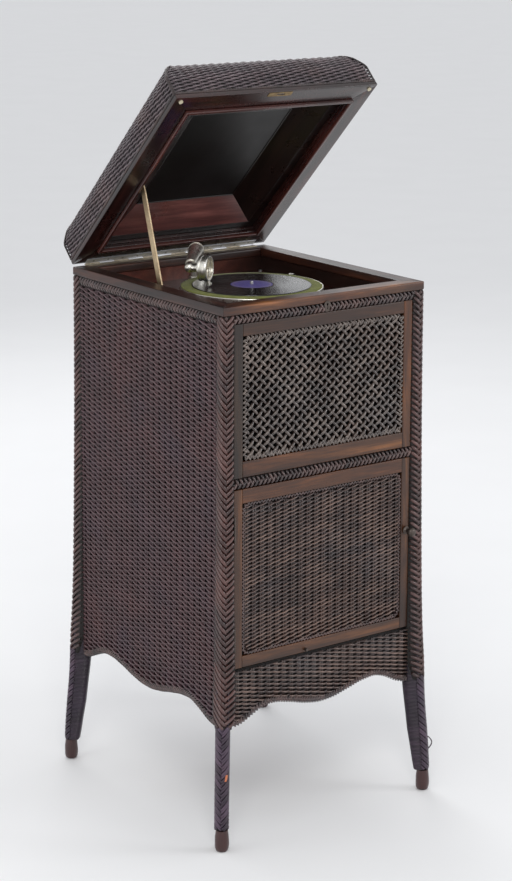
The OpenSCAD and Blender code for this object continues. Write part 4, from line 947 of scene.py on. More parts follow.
# ------------------------------------------------------------------ grille
def fr_bars(g, hw, z0, z1, st, rb, rt, y0, y1, tl, trr, tb, tt, mat=0):
    bar(g, (-hw, y0, z0), (-hw + st, y1, z1), 2, 1.6, 12, mat=mat, tint=tl, seed=0.31)
    bar(g, (hw - st, y0, z0), (hw, y1, z1), 2, 1.6, 12, mat=mat, tint=trr, seed=1.93)
    bar(g, (-hw + st + 0.12, y0 + 0.15, z0), (hw - st - 0.12, y1 - 0.2, z0 + rb), 0, 1.6, 16, mat=mat, tint=tb, seed=2.77)
    bar(g, (-hw + st + 0.12, y0 + 0.15, z1 - rt), (hw - st - 0.12, y1 - 0.2, z1), 0, 1.6, 16, mat=mat, tint=tt, seed=3.39)

g = Geo()
fr_bars(g, 228, 769, 1083, 22, 33, 26, -279, -263,
        (0.28, 0.30, 0.36), lerp([(769, (1.0, 0.85, 0.75)), (1000, (1.6, 1.25, 0.9)), (1083, (2.1, 1.6, 1.0))], 2),
        lerp([(-200, (0.75, 0.58, 0.52)), (0, (0.95, 0.78, 0.66)), (200, (1.5, 1.35, 1.15))], 0),
        lerp([(-200, (0.62, 0.55, 0.58)), (60, (0.68, 0.58, 0.58)), (200, (1.1, 0.9, 0.75))], 0))
build("grille_members", g, "cabinet", ["frame_wood"], ["grille_frame"], use=("edge", "gc", "tint"), sharp=42)

def path_surface(hw, z0, z1, R, y, ysign=-1.0):
    """Runs round a rounded rectangle in a front face. s is the length along it, t is outward in the plane."""
    cz, hh = (z0 + z1) / 2, (z1 - z0) / 2
    pts, nor = [], []
    for cx, cz_, a0 in ((hw - R, hh - R, 90), (hw - R, -hh + R, 0), (-hw + R, -hh + R, -90), (-hw + R, hh - R, -180)):
        for a in np.radians(np.linspace(a0, a0 - 90, 9)):
            pts.append((cx + R * math.cos(a), cz_ + R * math.sin(a)))
            nor.append((math.cos(a), math.sin(a)))
    pts.append(pts[0]); nor.append(nor[0])
    pts, nor = np.array(pts), np.array(nor)
    L = np.concatenate([[0], np.cumsum(np.linalg.norm(np.diff(pts, axis=0), axis=1))])
    def f(s, t, n):
        s = np.mod(s, L[-1])
        x, z = np.interp(s, L, pts[:, 0]), np.interp(s, L, pts[:, 1])
        nx, nz = np.interp(s, L, nor[:, 0]), np.interp(s, L, nor[:, 1])
        return np.stack([x + nx * t, y + ysign * n + 0 * x, cz + z + nz * t], -1)
    def nrm(s, t):
        return np.stack([0 * s, ysign + 0 * s, 0 * s], -1)
    return Surf(f, nrm), L[-1]

g = Geo()
S, L = path_surface(200.2, 807.8, 1051.2, 5, -276.2)
for tE, hf in ((-5.8, 0.0), (5.8, 0.5)):
    plait(g, S, 0.0, L, 9.6, tE, 0.0, 7.0, 1, 2.3, 0.0, half=hf, seg=8, lift=1.7, swap=False, spread=0.5)
def lattice(g, hw, z0, z1, ang, gap, r, y, amp):
    c, s = math.cos(ang), math.sin(ang)
    cz = (z0 + z1) / 2
    cross = gap / math.sin(PI - 2 * ang) if ang < PI / 4 else gap / math.sin(2 * ang)
    for fam, (dx, dz) in enumerate(((c, s), (c, -s))):
        nx, nz = -dz, dx
        reach = hw * abs(nx) + (z1 - z0) / 2 * abs(nz)
        for k in range(-int(reach / gap) - 1, int(reach / gap) + 2):
            ox, oz = nx * gap * k, cz + nz * gap * k
            # limits along the line inside the rectangle
            ts = []
            lo, hi = -1e9, 1e9
            for o, d_, a, b in ((ox, dx, -hw, hw), (oz, dz, z0, z1)):
                t0, t1 = (a - o) / d_, (b - o) / d_
                lo, hi = max(lo, min(t0, t1)), min(hi, max(t0, t1))
            if hi - lo < 6:
                continue
            N = max(4, int((hi - lo) / 3.4))
            t = np.linspace(lo, hi, N)
            x, z = ox + dx * t, oz + dz * t
            # index of the other family's line that is crossed at t
            other = (x * (dz if fam == 0 else -dz) * (1 if fam == 0 else -1) + 0 * z)
            mx, mz = (s, c) if fam == 0 else (-s, c)
            kk = (x * mx + (z - cz) * mz) / gap
            sgn = 1 if (k % 2 == 0) else -1
            n = amp * np.cos(PI * kk) * sgn * (1 if fam == 0 else -1)
            jit = 0.5 * (rng.random() - 0.5)
            P = np.stack([x + nx * jit, y - n, z + nz * jit], -1)
            # painted light: hi lightens each cord where it lies on top of a crossing and darkens it where it passes
            # under
            tubes(g, P[None], r, np.array([0, -1.0, 0]) + 0 * P, 6, tone=0.5 + 0.3 * (rng.random() - 0.5), hi=(0.5 + 0.4 * n / amp)[None])
lattice(g, 197.0, 804.5, 1054.5, math.radians(43), 14.0, 3.35, -274.4, 1.8)
build("lattice_cords", g, "cabinet", ["reed_lattice"], ["grille_lattice"], uv=uv_of(0, 2))

def cloth_piece():
    nx, nz = 70, 48
    x = np.linspace(-227.9, 227.9, nx)
    z = np.linspace(771.1, 1080.9, nz)
    X, Z = np.meshgrid(x, z)
    dy = 0.12 * np.sin(X / 31.0) * np.sin(Z / 23.0)
    V = np.concatenate([np.stack([X, -262.55 + dy, Z], -1).reshape(-1, 3), np.stack([X, -261.95 + dy, Z], -1).reshape(-1, 3)])
    i, j = np.meshgrid(np.arange(nz - 1), np.arange(nx - 1), indexing="ij")
    a = (i * nx + j).ravel()
    F = np.stack([a, a + 1, a + nx + 1, a + nx], -1)
    n = nx * nz
    Bk = F[:, ::-1] + n
    rim = np.concatenate([np.arange(nx), np.arange(1, nz) * nx + nx - 1, (nz - 1) * nx + np.arange(nx - 2, -1, -1), np.arange(nz - 2, 0, -1) * nx])
    r1 = np.roll(rim, -1)
    side = np.stack([rim, rim + n, r1 + n, r1], -1)
    g = Geo()
    g.add(V, np.concatenate([F, Bk, side]))
    ob = build("grille_fabric", g, "cabinet", ["cloth"], ["grille_cloth"], use=())
cloth_piece()

# ------------------------------------------------------------------ door
g = Geo()
fr_bars(g, 227.5, 372, 745.5, 21, 24, 30, -279, -263,
        lerp([(372, (1.0, 0.9, 0.82)), (745, (1.25, 1.12, 1.0))], 2), lerp([(372, (0.9, 0.78, 0.7)), (745, (1.1, 0.95, 0.8))], 2),
        lerp([(-200, (0.9, 0.8, 0.75)), (200, (1.0, 0.85, 0.75))], 0),
        lerp([(-200, (1.25, 1.0, 0.85)), (0, (1.5, 1.2, 0.9)), (200, (1.6, 1.25, 0.95))], 0))
build("door_members", g, "door", ["frame_wood"], ["door_frame"], use=("edge", "gc", "tint"), sharp=42)
g = Geo()
S = plane((0, -278.0, 0), (1, 0, 0), (0, 0, 1), (0, -1, 0))
def in_door(u, v):
    dx, dz = np.abs(u) - (199.5 - 10), np.abs(v - 555.75) - (152.5 - 10)
    return (dx <= 10) & (dz <= 10) & ((dx <= 0) | (dz <= 0) | (dx * dx + dz * dz <= 100))
twine(g, S, np.arange(404.0, 709, 8.3), (-199.5, 199.5), 19.6, 1.9, 0.9, 1.8, 1.65, -3.2, off=2.07, inside=in_door, seg=5, ns=5, phase=2.0, wob=0.35, spread=0.3)
us = np.arange(-196 + 2.0, 199, 19.6)
for d_ in (-2.7, 2.7):
    stakes(g, S, us + d_, 404, 708, 2.4, -4.3, step=30, ns=6)
S, L = path_surface(202.6, 399.2, 712.3, 14, -275.2)
for tE, hf in ((-3.4, 0.0), (3.4, 0.5)):
    plait(g, S, 0.0, L, 8.0, tE, 0.0, 5.0, 1, 1.9, 0.0, half=hf, seg=7, lift=1.4, swap=False, mat=2, spread=0.5)
build("weave_door", g, "door", ["reed_door", "stake_painted_shade", "reed_braid"], ["door_wicker"], uv=uv_of(0, 2))
g = Geo()
bar(g, (-205.8, -271.2, 396.6), (205.8, -270.2, 715.0), 0, r=0.3, nl=2, wave=0, cham=0.1)
build("door_backing", g, "door", ["core"], ())
g = Geo()
M4 = tr(217, -282, 588) @ rx(90)
lathe(g, [(0, 2.6), (8, 2.6), (8.4, 3.2), (8.2, 4.2), (5.0, 6.0), (3.9, 8.0), (3.7, 11.0), (4.6, 13.4), (7.0, 15.0), (8.8, 17.2), (9.7, 20.0), (9.8, 22.4), (9.0, 25.0), (7.4, 27.0), (5.0, 28.2), (2.4, 28.6), (0, 28.6)][::-1], 48, M4 @ tr(0, 0, -2.6))
lathe(g, [(0, -21.3), (3.5, -21.3), (3.5, 0.2), (0, 0.2)], 24, M4)
bar(g, (213, -262.5, 584), (221, -260, 603), 2, r=0.8, nl=3, wave=0)
build("knob_turned", g, "knob", ["dark_steel"], ["door_knob"], sharp=40)

# ------------------------------------------------------------------ lid
TH = math.radians(44.3)
HYL, HZL, LZ = 283.5, 1121.5, 1123.0
def lid_place(P):
    P = np.asarray(P, float)
    y, z = P[..., 1] - HYL, P[..., 2] - HZL
    return np.stack([P[..., 0], HYL + y * math.cos(TH) + z * math.sin(TH), HZL - y * math.sin(TH) + z * math.cos(TH)], -1)
def lid_turn(N):
    N = np.asarray(N, float)
    return np.stack([N[..., 0], N[..., 1] * math.cos(TH) + N[..., 2] * math.sin(TH), -N[..., 1] * math.sin(TH) + N[..., 2] * math.cos(TH)], -1)

g = Geo()
# the right member's tint lightens it towards grey, a painted sheen, and the left member's tint darkens it, painted
# shade; front and rear tints are the wood's own colour
ring_of_bars(g, 256, 282, LZ, LZ + 9.8, 50, r=1.8, place=lid_place, nl=16,
             tints=[(1.25, 1.0, 0.95), (1.0, 0.9, 0.9), lerp([(-282, (0.7, 0.62, 0.66)), (282, (0.9, 0.8, 0.8))], 1), lerp([(-282, (1.5, 1.35, 1.4)), (282, (1.1, 1.0, 1.0))], 1)])
ring_of_bars(g, 246.5, 272.5, LZ + 9.85, LZ + 17, 40.5, r=0.8, place=lid_place, nl=4)
build("lid_members", g, "lid", ["lid_wood"], ["lid_frame"], use=("edge", "gc", "tint"), sharp=42)

g = Geo()
ring_of_bars(g, 213, 239, LZ - 8, LZ - 0.1, 7, r=1.9, place=lid_place, nl=14, wave=0.1)
build("lid_lip", g, "lid", ["mahogany_lip"], ["lid_moulding"], use=("edge", "gc", "tint"), sharp=42)

def slabq(g, A, B, C, D, th, place, mat, seed, along, nu=10):
    """A flat board with corners A B C D and thickness th upward; along is its grain direction."""
    A, B, C, D = (np.asarray(p, float) for p in (A, B, C, D))
    nrm_ = norm(np.cross(B - A, D - A))
    V, gc = [], []
    for off in (0.0, th):
        for q in np.linspace(0, 1, nu + 1):
            for P0, P1 in ((A, B), (D, C)):
                V.append(P0 * (1 - q) + P1 * q + nrm_ * off)
    V = np.array(V)
    m = (nu + 1) * 2
    F = []
    for q in range(nu):
        a = 2 * q
        F.append((a, a + 1, a + 3, a + 2))
        F.append((m + a, m + a + 2, m + a + 3, m + a + 1))
        F.append((a, a + 2, m + a + 2, m + a))
        F.append((a + 1, m + a + 1, m + a + 3, a + 3))
    F.append((0, m, m + 1, 1))
    e_ = 2 * nu
    F.append((e_, e_ + 1, m + e_ + 1, m + e_))
    al = norm(np.asarray(along, float))
    ac = norm(np.cross(nrm_, al))
    gc = np.stack([V @ al / 1000 + seed, V @ ac / 1000 + seed * 0.3, V @ nrm_ / 1000], -1)
    g.add(place(V), F, None, mat, gc=gc, edge=0.1)

g = Geo()
Z0, Z1 = LZ + 17.5, LZ + 53
a, b, c, d = 187, 217, 127, 151
slabq(g, (-a, b, Z0), (-c, d, Z1), (c, d, Z1), (a, b, Z0), 2.4, lid_place, 0, 0.2, (1, 0, 0))     # rear
slabq(g, (a, -b, Z0), (c, -d, Z1), (-c, -d, Z1), (-a, -b, Z0), 2.4, lid_place, 0, 1.2, (1, 0, 0))  # front
# the left and right slopes take the painted-shade copy of the mahogany, the rear and front slopes the lit one
slabq(g, (-a, -b, Z0), (-c, -d, Z1), (-c, d, Z1), (-a, b, Z0), 2.4, lid_place, 1, 2.2, (0, 1, 0))  # left
slabq(g, (a, b, Z0), (c, d, Z1), (c, -d, Z1), (a, -b, Z0), 2.4, lid_place, 1, 3.2, (0, 1, 0))      # right
# the flat ceiling takes the near-black painted-shade wood
slabq(g, (-c, -d, Z1), (c, -d, Z1), (c, d, Z1), (-c, d, Z1), 2.4, lid_place, 2, 4.2, (0, 1, 0))
for x0, x1, y0, y1 in ((-244, 244, 215, 270), (-244, 244, -270, -215), (-244, -185, -215, 215), (185, 244, -215, 215)):
    bar(g, (x0, y0, LZ + 17.2), (x1, y1, LZ + 19.6), 0, r=0.4, nl=3, place=lid_place, mat=1, wave=0)
# slim beads where the sloping panels meet the flat ceiling
for p0, p1 in (((-c, -d), (c, -d)), ((c, -d), (c, d)), ((c, d), (-c, d)), ((-c, d), (-c, -d))):
    P = np.array([[p0[0] * (1 - q) + p1[0] * q, p0[1] * (1 - q) + p1[1] * q, Z1 - 0.4] for q in np.linspace(0, 1, 12)])
    tubes(g, lid_place(P)[None], 1.5, lid_turn(np.array([0, 0, -1.0]))[None, None] + np.zeros((1, 12, 3)), 8, mat=1)
build("lid_panels", g, "lid", ["mahogany", "mahogany_painted_shade", "ceiling_painted_shade"], ["lid_lining"], use=("edge", "gc", "tint"), sharp=30)

PROF = np.array([[0, 10.3], [0, 50], [2, 57], [8, 68.5], [16, 81.5], [25, 90], [37, 97], [54, 102.5], [80, 106.0]])
def by_of(p):
    return np.where(p[:, 1] < 98, p[:, 0] / 2, p[:, 0] / 2 + 2 * (p[:, 1] - 97))
BX, BYI, VV = PROF[:, 0], by_of(PROF), PROF[:, 1]
g = Geo()
def shell_rings(t, top):
    R = []
    for bx, by, v in zip(BX, BYI, VV):
        X, Y, z = HX - bx - t, HY - by - t, LZ + min(v, top) + (0 if v > 11 else 0.2)
        c_ = 4.0
        pts = [(X, -Y + c_), (X, Y - c_), (X - c_, Y), (-X + c_, Y), (-X, Y - c_), (-X, -Y + c_), (-X + c_, -Y), (X - c_, -Y)]
        R.append([(x, y, z) for x, y in pts])
    return R
outer = shell_rings(4.6, 101.8)
inner = shell_rings(9.0, 97.0)
rings = outer + inner[::-1]
rings.append(outer[0])
R = np.array([lid_place(np.array(r_)) for r_ in rings])
m_, n_ = R.shape[0] - 1, R.shape[1]
base = np.arange(m_)[:, None] * n_
j, j1 = np.arange(n_), (np.arange(n_) + 1) % n_
nxt = np.roll(base, -1, 0)
# the top rings join as two flat plates, so the run through them is cut and capped
keep = np.ones(m_, bool)
keep[len(outer) - 1] = False
Q = np.stack([base + j, base + j1, nxt + j1, nxt + j], -1)[keep].reshape(-1, 4)
k = np.arange(1, n_ - 1)
t0, t1 = (len(outer) - 1) * n_, len(outer) * n_
T = np.concatenate([np.stack([t0 + 0 * k, t0 + k, t0 + k + 1], -1), np.stack([t1 + 0 * k, t1 + k + 1, t1 + k], -1)])
g.add(R[:-1].reshape(-1, 3), Q, T)
build("lid_core", g, "lid", ["core"], ["lid_shell"], smooth=False)

arc = np.concatenate([[0], np.cumsum(np.hypot(np.diff(BX), np.diff(VV)))])
def lid_side(kind):
    """u along the side, s up the lid's profile."""
    def parts(u, s):
        bx, v = np.interp(s, arc, BX), np.interp(s, arc, VV)
        by = np.interp(s, arc, BYI)
        e_ = 1.0
        if kind in ("left", "right"):
            o, o2 = np.interp(s + e_, arc, BX), np.interp(s - e_, arc, BX)
        else:
            o, o2 = np.interp(s + e_, arc, BYI), np.interp(s - e_, arc, BYI)
        dv = np.interp(s + e_, arc, VV) - np.interp(s - e_, arc, VV)
        do = o - o2
        L_ = np.sqrt(dv * dv + do * do) + 1e-9
        return bx, by, v, dv / L_, do / L_
    def nr(u, s):
        bx, by, v, a_, b_ = parts(u, s)
        z0 = 0 * u
        if kind == "left": N = np.stack([-a_ + z0, z0, b_ + z0], -1)
        elif kind == "right": N = np.stack([a_ + z0, z0, b_ + z0], -1)
        elif kind == "front": N = np.stack([z0, -a_ + z0, b_ + z0], -1)
        else: N = np.stack([z0, a_ + z0, b_ + z0], -1)
        return N
    def f(u, s, n):
        bx, by, v, a_, b_ = parts(u, s)
        if kind == "left": P = np.stack([-(HX - bx) + 0 * u, u, LZ + v + 0 * u], -1)
        elif kind == "right": P = np.stack([(HX - bx) + 0 * u, -u, LZ + v + 0 * u], -1)
        elif kind == "front": P = np.stack([u, -(HY - by) + 0 * u, LZ + v + 0 * u], -1)
        else: P = np.stack([-u, (HY - by) + 0 * u, LZ + v + 0 * u], -1)
        return lid_place(P + nr(u, s) * np.asarray(n)[..., None])
    return Surf(f, lambda u, s: lid_turn(nr(u, s)))
for kind in ("left", "right", "front", "rear"):
    g = Geo()
    S = lid_side(kind)
    lng = kind in ("left", "right")
    def lim(v, lng=lng):
        q = float(HY - np.interp(v, arc, BYI)) if lng else float(HX - np.interp(v, arc, BX))
        return (-q + 4.5, q - 4.5)
    twine(g, S, np.arange(8.0, arc[-1] - 3, 8.3), lim, 20.0, 1.95, 0.9, 1.9, 1.65, -3.3, off=2.07, seg=5, ns=5, phase=3.0, wob=0.3, spread=0.3)
    q0 = HY if lng else HX
    us = np.arange(-math.floor((q0 - 8) / 20) * 20.0, q0 - 7, 20.0) + 3.0
    def stake_end(u, lng=lng):
        ss = np.linspace(0, arc[-1], 60)
        lim_ = (HY - np.interp(ss, arc, BYI)) if lng else (HX - np.interp(ss, arc, BX))
        ok = ss[lim_ > abs(u) + 5]
        return float(ok[-1]) if len(ok) else 0.0
    for d_ in (-2.7, 2.7):
        stakes(g, S, us + d_, 2.0, stake_end, 2.4, -4.3, step=9, ns=5)
    build("weave_lid_" + kind, g, "lid", ["reed_lid", "stake_painted_shade"], ())
g = Geo()
S = Surf(lambda u, v, n: lid_place(np.stack([u, v, LZ + 106.0 + n + 0 * u], -1)), lambda u, v: lid_turn(np.stack([0 * u, 0 * u, 1 + 0 * u], -1)))
twine(g, S, np.arange(-222.0, 223, 8.3), (-175, 175), 20.0, 1.95, 0.9, 1.9, 1.65, -3.3, off=2.07, seg=5, ns=5, phase=3.0, wob=0.3, spread=0.3)
for d_ in (-2.7, 2.7):
    stakes(g, S, np.arange(-160, 170, 20.0) + 3.0 + d_, -223, 223, 2.4, -4.3, step=20, ns=5)
build("weave_lid_top", g, "lid", ["reed_door", "stake_painted_shade"], ())
# cords on the hips and round the upper and lower edges
g = Geo()
for sx, sy in CORNERS:
    ss = np.linspace(3, arc[-1], 46)
    P = np.stack([sx * (HX - np.interp(ss, arc, BX) - 1.6), sy * (HY - np.interp(ss, arc, BYI) - 1.6), LZ + np.interp(ss, arc, VV) - 1.2], -1)
    for kk in range(3):
        a_ = 2 * PI * (ss / 17.0 + kk / 3)
        Q_ = P + np.stack([sx * 1.9 * np.cos(a_), -sy * 1.9 * np.cos(a_), 1.2 * np.sin(a_)], -1)
        tubes(g, lid_place(Q_)[None], 1.7, lid_turn(np.array([sx * 0.6, sy * 0.6, 0.5]))[None, None] + np.zeros((1, len(ss), 3)), 5, tone=0.4 + 0.2 * rng.random(), hi=0.5)
for z_, ins_x, ins_y, rr in ((12.4, 1.4, 1.4, 2.0), (104.8, 79.0, 57.0, 1.9)):
    X, Y = HX - ins_x, HY - ins_y
    for p0, p1 in (((-X, -Y), (X, -Y)), ((X, -Y), (X, Y)), ((X, Y), (-X, Y)), ((-X, Y), (-X, -Y))):
        Ln = math.hypot(p1[0] - p0[0], p1[1] - p0[1])
        q = np.linspace(0, 1, int(Ln / 3.2))
        for kk in range(2):
            a_ = 2 * PI * (q * Ln / 13.0 + kk / 2)
            nx_, ny_ = (p1[1] - p0[1]) / Ln, -(p1[0] - p0[0]) / Ln
            Q_ = np.stack([p0[0] + (p1[0] - p0[0]) * q + nx_ * 1.2 * np.cos(a_), p0[1] + (p1[1] - p0[1]) * q + ny_ * 1.2 * np.cos(a_), LZ + z_ + 1.5 * np.sin(a_)], -1)
            tubes(g, lid_place(Q_)[None], rr, lid_turn(np.array([nx_, ny_, 0.3]))[None, None] + np.zeros((1, len(q), 3)), 5, tone=0.45 + 0.2 * rng.random(), hi=0.5)
build("lid_cords", g, "lid", ["reed_braid"], ())

# ------------------------------------------------------------------ turntable, felt and record
SPX, SPY = 0.0, -22.0
g = Geo()
lathe(g, [(4.28, 1080), (14, 1080), (14, 1088), (20, 1092.5), (149.4, 1092.5), (149.4, 1083.6), (150.2, 1083), (151.6, 1083), (152.2, 1083.6), (152.4, 1084.6), (152.4, 1096.4),
          (152.2, 1097.5), (151.5, 1098.2), (150.8, 1098.4), (150.0, 1098.2), (149.6, 1097.2), (149.6, 1096.5), (4.28, 1096.5)], 160, tr(SPX, SPY, 0))
build("turntable_turned", g, "platter", ["nickel"], ["turntable"], sharp=40)
g = Geo()
def fuzz(r, z, a):
    return np.where(r > 148, 0.25 * np.sin(a * 37) + 0.18 * np.sin(a * 71 + 1), 0)
lathe(g, [(4.4, 1096.6), (149.4, 1096.6), (149.5, 1097.6), (149.0, 1098.7), (148.0, 1099.0), (120, 1099.0), (60, 1099.0), (4.4, 1099.0)], 160, tr(SPX, SPY, 0), wave=fuzz)
build("felt_pad", g, "platter", ["felt"], ["turntable_felt"], sharp=60)
g = Geo()
prof = [(3.68, 1099.1), (126.2, 1099.1), (126.8, 1099.5), (127.0, 1100.0), (126.8, 1100.6), (126.2, 1101.0), (124.4, 1100.95)]
for r_ in np.arange(123.0, 51.0, -3.0):
    prof.append((r_, 1100.93 + 0.04 * math.sin(r_ * 1.7)))
prof += [(50, 1100.95), (48.5, 1100.98), (45.2, 1100.98), (44.8, 1100.9), (3.68, 1100.9)]
lathe(g, prof, 160, tr(SPX, SPY, 0))
lathe(g, [(3.7, 1100.86), (44.5, 1100.86), (44.5, 1101.0), (44.2, 1101.04), (3.7, 1101.04)], 128, tr(SPX, SPY, 0), mat=1)
build("record_pressed", g, "platter", ["shellac", "label"], ["record"], use=("gc",), sharp=40)
g = Geo()
lathe(g, [(0, 946), (4.2, 946), (4.2, 1098.9), (3.0, 1099), (3.0, 1101.2), (3.6, 1101.4), (3.6, 1106.3), (3.3, 1107.2), (2.5, 1107.8), (1.3, 1108), (0, 1108)], 32, tr(SPX, SPY, 0))
def splines(n, amp):
    return lambda r, z, a: np.where(r > 6, amp * np.sign(np.cos(a * n)) * np.minimum(np.abs(np.cos(a * n)) * 2.2, 1), 0)
lathe(g, [(3.4, 992), (7.4, 992), (7.4, 1008), (3.4, 1008)], 128, tr(SPX, SPY, 0), wave=splines(16, 0.75))
lathe(g, [(3.4, 971), (16.9, 971), (16.9, 979), (3.4, 979)], 204, tr(SPX, SPY, 0), wave=splines(34, 0.85))
build("spindle_turned", g, "platter", ["steel"], ["spindle"], sharp=35)

# ------------------------------------------------------------------ tone arm
ARM = tr(-12, 165, 0) @ rz(-129.5)
g = Geo()
lathe(g, [(17.06, 1072.05), (29, 1072.05), (29.2, 1073), (29, 1074.5), (27.6, 1075.6), (25.2, 1076.4), (22.6, 1077.2), (21, 1079), (20.2, 1081.5), (20, 1084), (20.3, 1086.6), (19.8, 1087.8), (18.6, 1088), (17.06, 1088)], 80, tr(-12, 165, 0))
for a_ in (30, 150, 270):
    cx, cy = 24.6 * math.cos(math.radians(a_)), 24.6 * math.sin(math.radians(a_))
    lathe(g, [(0, 1075.8), (3.1, 1075.8), (3.0, 1077.2), (2.2, 1078.0), (1.0, 1078.3), (0, 1078.35)], 20, tr(-12 + cx, 165 + cy, 0), mat=1)
build("arm_base_turned", g, "cabinet", ["nickel", "steel"], ["tonearm_base"], sharp=50)

def sweep(g, P, rad, ns=40, mat=0, bore=None):
    """A round tube along P with its own bore, so that it is a closed solid."""
    P = np.asarray(P, float)
    tan = norm(np.gradient(P, axis=0))
    up = np.zeros_like(P)
    ref = np.array([0, 1.0, 0])
    if abs(tan[0] @ ref) > 0.9:
        ref = np.array([1.0, 0, 0])
    for i in range(len(P)):
        ref = ref - (ref @ tan[i]) * tan[i]
        ref /= np.linalg.norm(ref)
        up[i] = ref
    sd = np.cross(tan, up)
    a_ = 2 * PI * np.arange(ns) / ns
    def skin(r_):
        return P[:, None] + r_[:, None, None] * (up[:, None] * np.cos(a_)[None, :, None] + sd[:, None] * np.sin(a_)[None, :, None])
    rad = np.broadcast_to(np.asarray(rad, float), (len(P),))
    if bore is None:
        R = np.concatenate([[np.repeat(P[:1], ns, 0)], skin(rad), [np.repeat(P[-1:], ns, 0)]])
        m = len(R)
        base = np.arange(m)[:, None] * ns
        j, j1 = np.arange(ns), (np.arange(ns) + 1) % ns
        Q = np.stack([base[1:-2] + j, base[1:-2] + j1, base[2:-1] + j1, base[2:-1] + j], -1).reshape(-1, 4)
        T = np.concatenate([np.stack([0 * j, ns + j1, ns + j], -1), np.stack([(m - 1) * ns + 0 * j, (m - 2) * ns + j, (m - 2) * ns + j1], -1)])
        V = R.reshape(-1, 3)
    else:
        R = np.concatenate([skin(rad), skin(np.broadcast_to(np.asarray(bore, float), (len(P),)))[::-1]])
        m = len(R)
        base = np.arange(m)[:, None] * ns
        nx_ = np.roll(base, -1, 0)
        j, j1 = np.arange(ns), (np.arange(ns) + 1) % ns
        Q = np.stack([base + j, base + j1, nx_ + j1, nx_ + j], -1).reshape(-1, 4)
        T = None
        V = R.reshape(-1, 3)
    g.add(V, Q, T, mat)
    return g

g = Geo()
zz = np.concatenate([[1073.0, 1084], np.linspace(1092, 1134, 5)])
P = [(0, 0, z) for z in zz]
for a_ in np.radians(np.linspace(8, 90, 12)):
    P.append((17 - 17 * math.cos(a_), 0, 1135 + 17 * math.sin(a_)))
ti = math.radians(3.66)
for L_ in (6, 30, 60, 90, 120, 127):
    P.append((17 + L_ * math.cos(ti), 0, 1152 - L_ * math.sin(ti)))
P = np.array(P)
rad = np.full(len(P), 16.95)
along = np.concatenate([np.zeros(len(P) - 6), [6, 30, 60, 90, 120, 127]])
rad = np.where(along > 0, 16.9 - 6.9 * along / 131, rad)
sweep(g, app(ARM, P), rad, 48, bore=rad - 3.0)
# collar on the riser and rings on the elbow and the end of the tube
def ringpiece(c, d_, r0, r1, w_, bulge=0.5, mat=0, ns=48):
    q = np.linspace(-0.5, 0.5, 5) * w_
    Pq = np.array([np.asarray(c, float) + np.asarray(d_, float) * x for x in q])
    rr_ = r1 - bulge * (2 * np.abs(q) / w_) ** 2
    sweep(g, app(ARM, Pq), rr_, ns, mat, bore=np.full(5, r0))
ringpiece((0, 0, 1090.4), (0, 0, 1), 16.0, 19.6, 4.2)
ringpiece((0, 0, 1133), (0, 0, 1), 16.0, 17.7, 2.2, 0.2)
dt = np.array([math.cos(ti), 0, -math.sin(ti)])
o_ = np.array([17, 0, 1152.0])
ringpiece(o_ + dt * 2.0, dt, 16.0, 17.6, 2.4, 0.2)
ringpiece(o_ + dt * 128.5, dt, 8.0, 12.0, 5.2, 0.6)
ringpiece(o_ + dt * 124.6, dt, 8.5, 11.0, 1.8, 0.2)
build("arm_tube_bent", g, "tonearm", ["nickel"], ["tonearm_tube"], sharp=50)

g = Geo()
sweep(g, app(ARM, np.array([o_ + dt * x for x in (119, 125, 131.6, 132.5, 140, 150, 156)])), np.array([6.9, 6.9, 6.9, 9.4, 9.4, 9.4, 9.4]), 40)
lathe(g, [(0, -11.0)] + [(11.0 * math.cos(t_), 11.0 * math.sin(t_)) for t_ in np.linspace(-PI / 2 + 0.15, PI / 2 - 0.15, 15)] + [(0, 11.0)], 40, ARM @ tr(175.4, 0, 1142))
SB = ARM @ tr(183.1, 31.9, 1142) @ rz(76.4)
SBX = SB @ ry(90)
lathe(g, [(0, -31), (8.6, -31), (9, -30), (9, -18), (9.8, -17), (10.4, -15.4), (9.8, -13.8), (9.6, -12.6), (0, -12.6)], 40, SBX)
lathe(g, [(0, -13), (14, -13), (15.4, -12.4), (20, -11), (24.2, -9.8), (26, -9.2), (27.2, -8.2), (27.5, -7), (27.5, -3.8), (27.0, -2.6), (26, -2), (26, 1.6), (27.0, 2.2), (27.5, 3.2), (27.5, 9), (27.0, 10.6),
          (26, 12), (24.4, 12.2), (23.5, 11.6), (23.5, 7), (21.4, 6.6), (21.2, 4), (0, 4)], 96, SBX, wave=lambda r, z, a: np.where((r > 27.3) & (z > 3) & (z < 9.5), 0.28 * np.cos(a * 60), 0))
for a_ in (60, 180, 300):
    c_, s_ = 24.8 * math.cos(math.radians(a_)), 24.8 * math.sin(math.radians(a_))
    lathe(g, [(0, 11.6), (1.5, 11.6), (1.5, 12.8), (0.9, 13.2), (0, 13.3)], 14, SBX @ tr(c_, s_, 0), mat=1)
build("sound_box_turned", g, "soundbox", ["nickel", "steel"], ["soundbox"], sharp=45)
g = Geo()
lathe(g, [(0, 4.3), (21, 4.3), (21, 4.9), (16, 5.15), (15, 5.0), (10, 5.2), (6, 5.3), (3.4, 5.4), (3.2, 6.6), (2.2, 7.4), (0, 7.5)], 64, SBX)
build("mica_disc", g, "soundbox", ["mica"], ["diaphragm"], sharp=50)

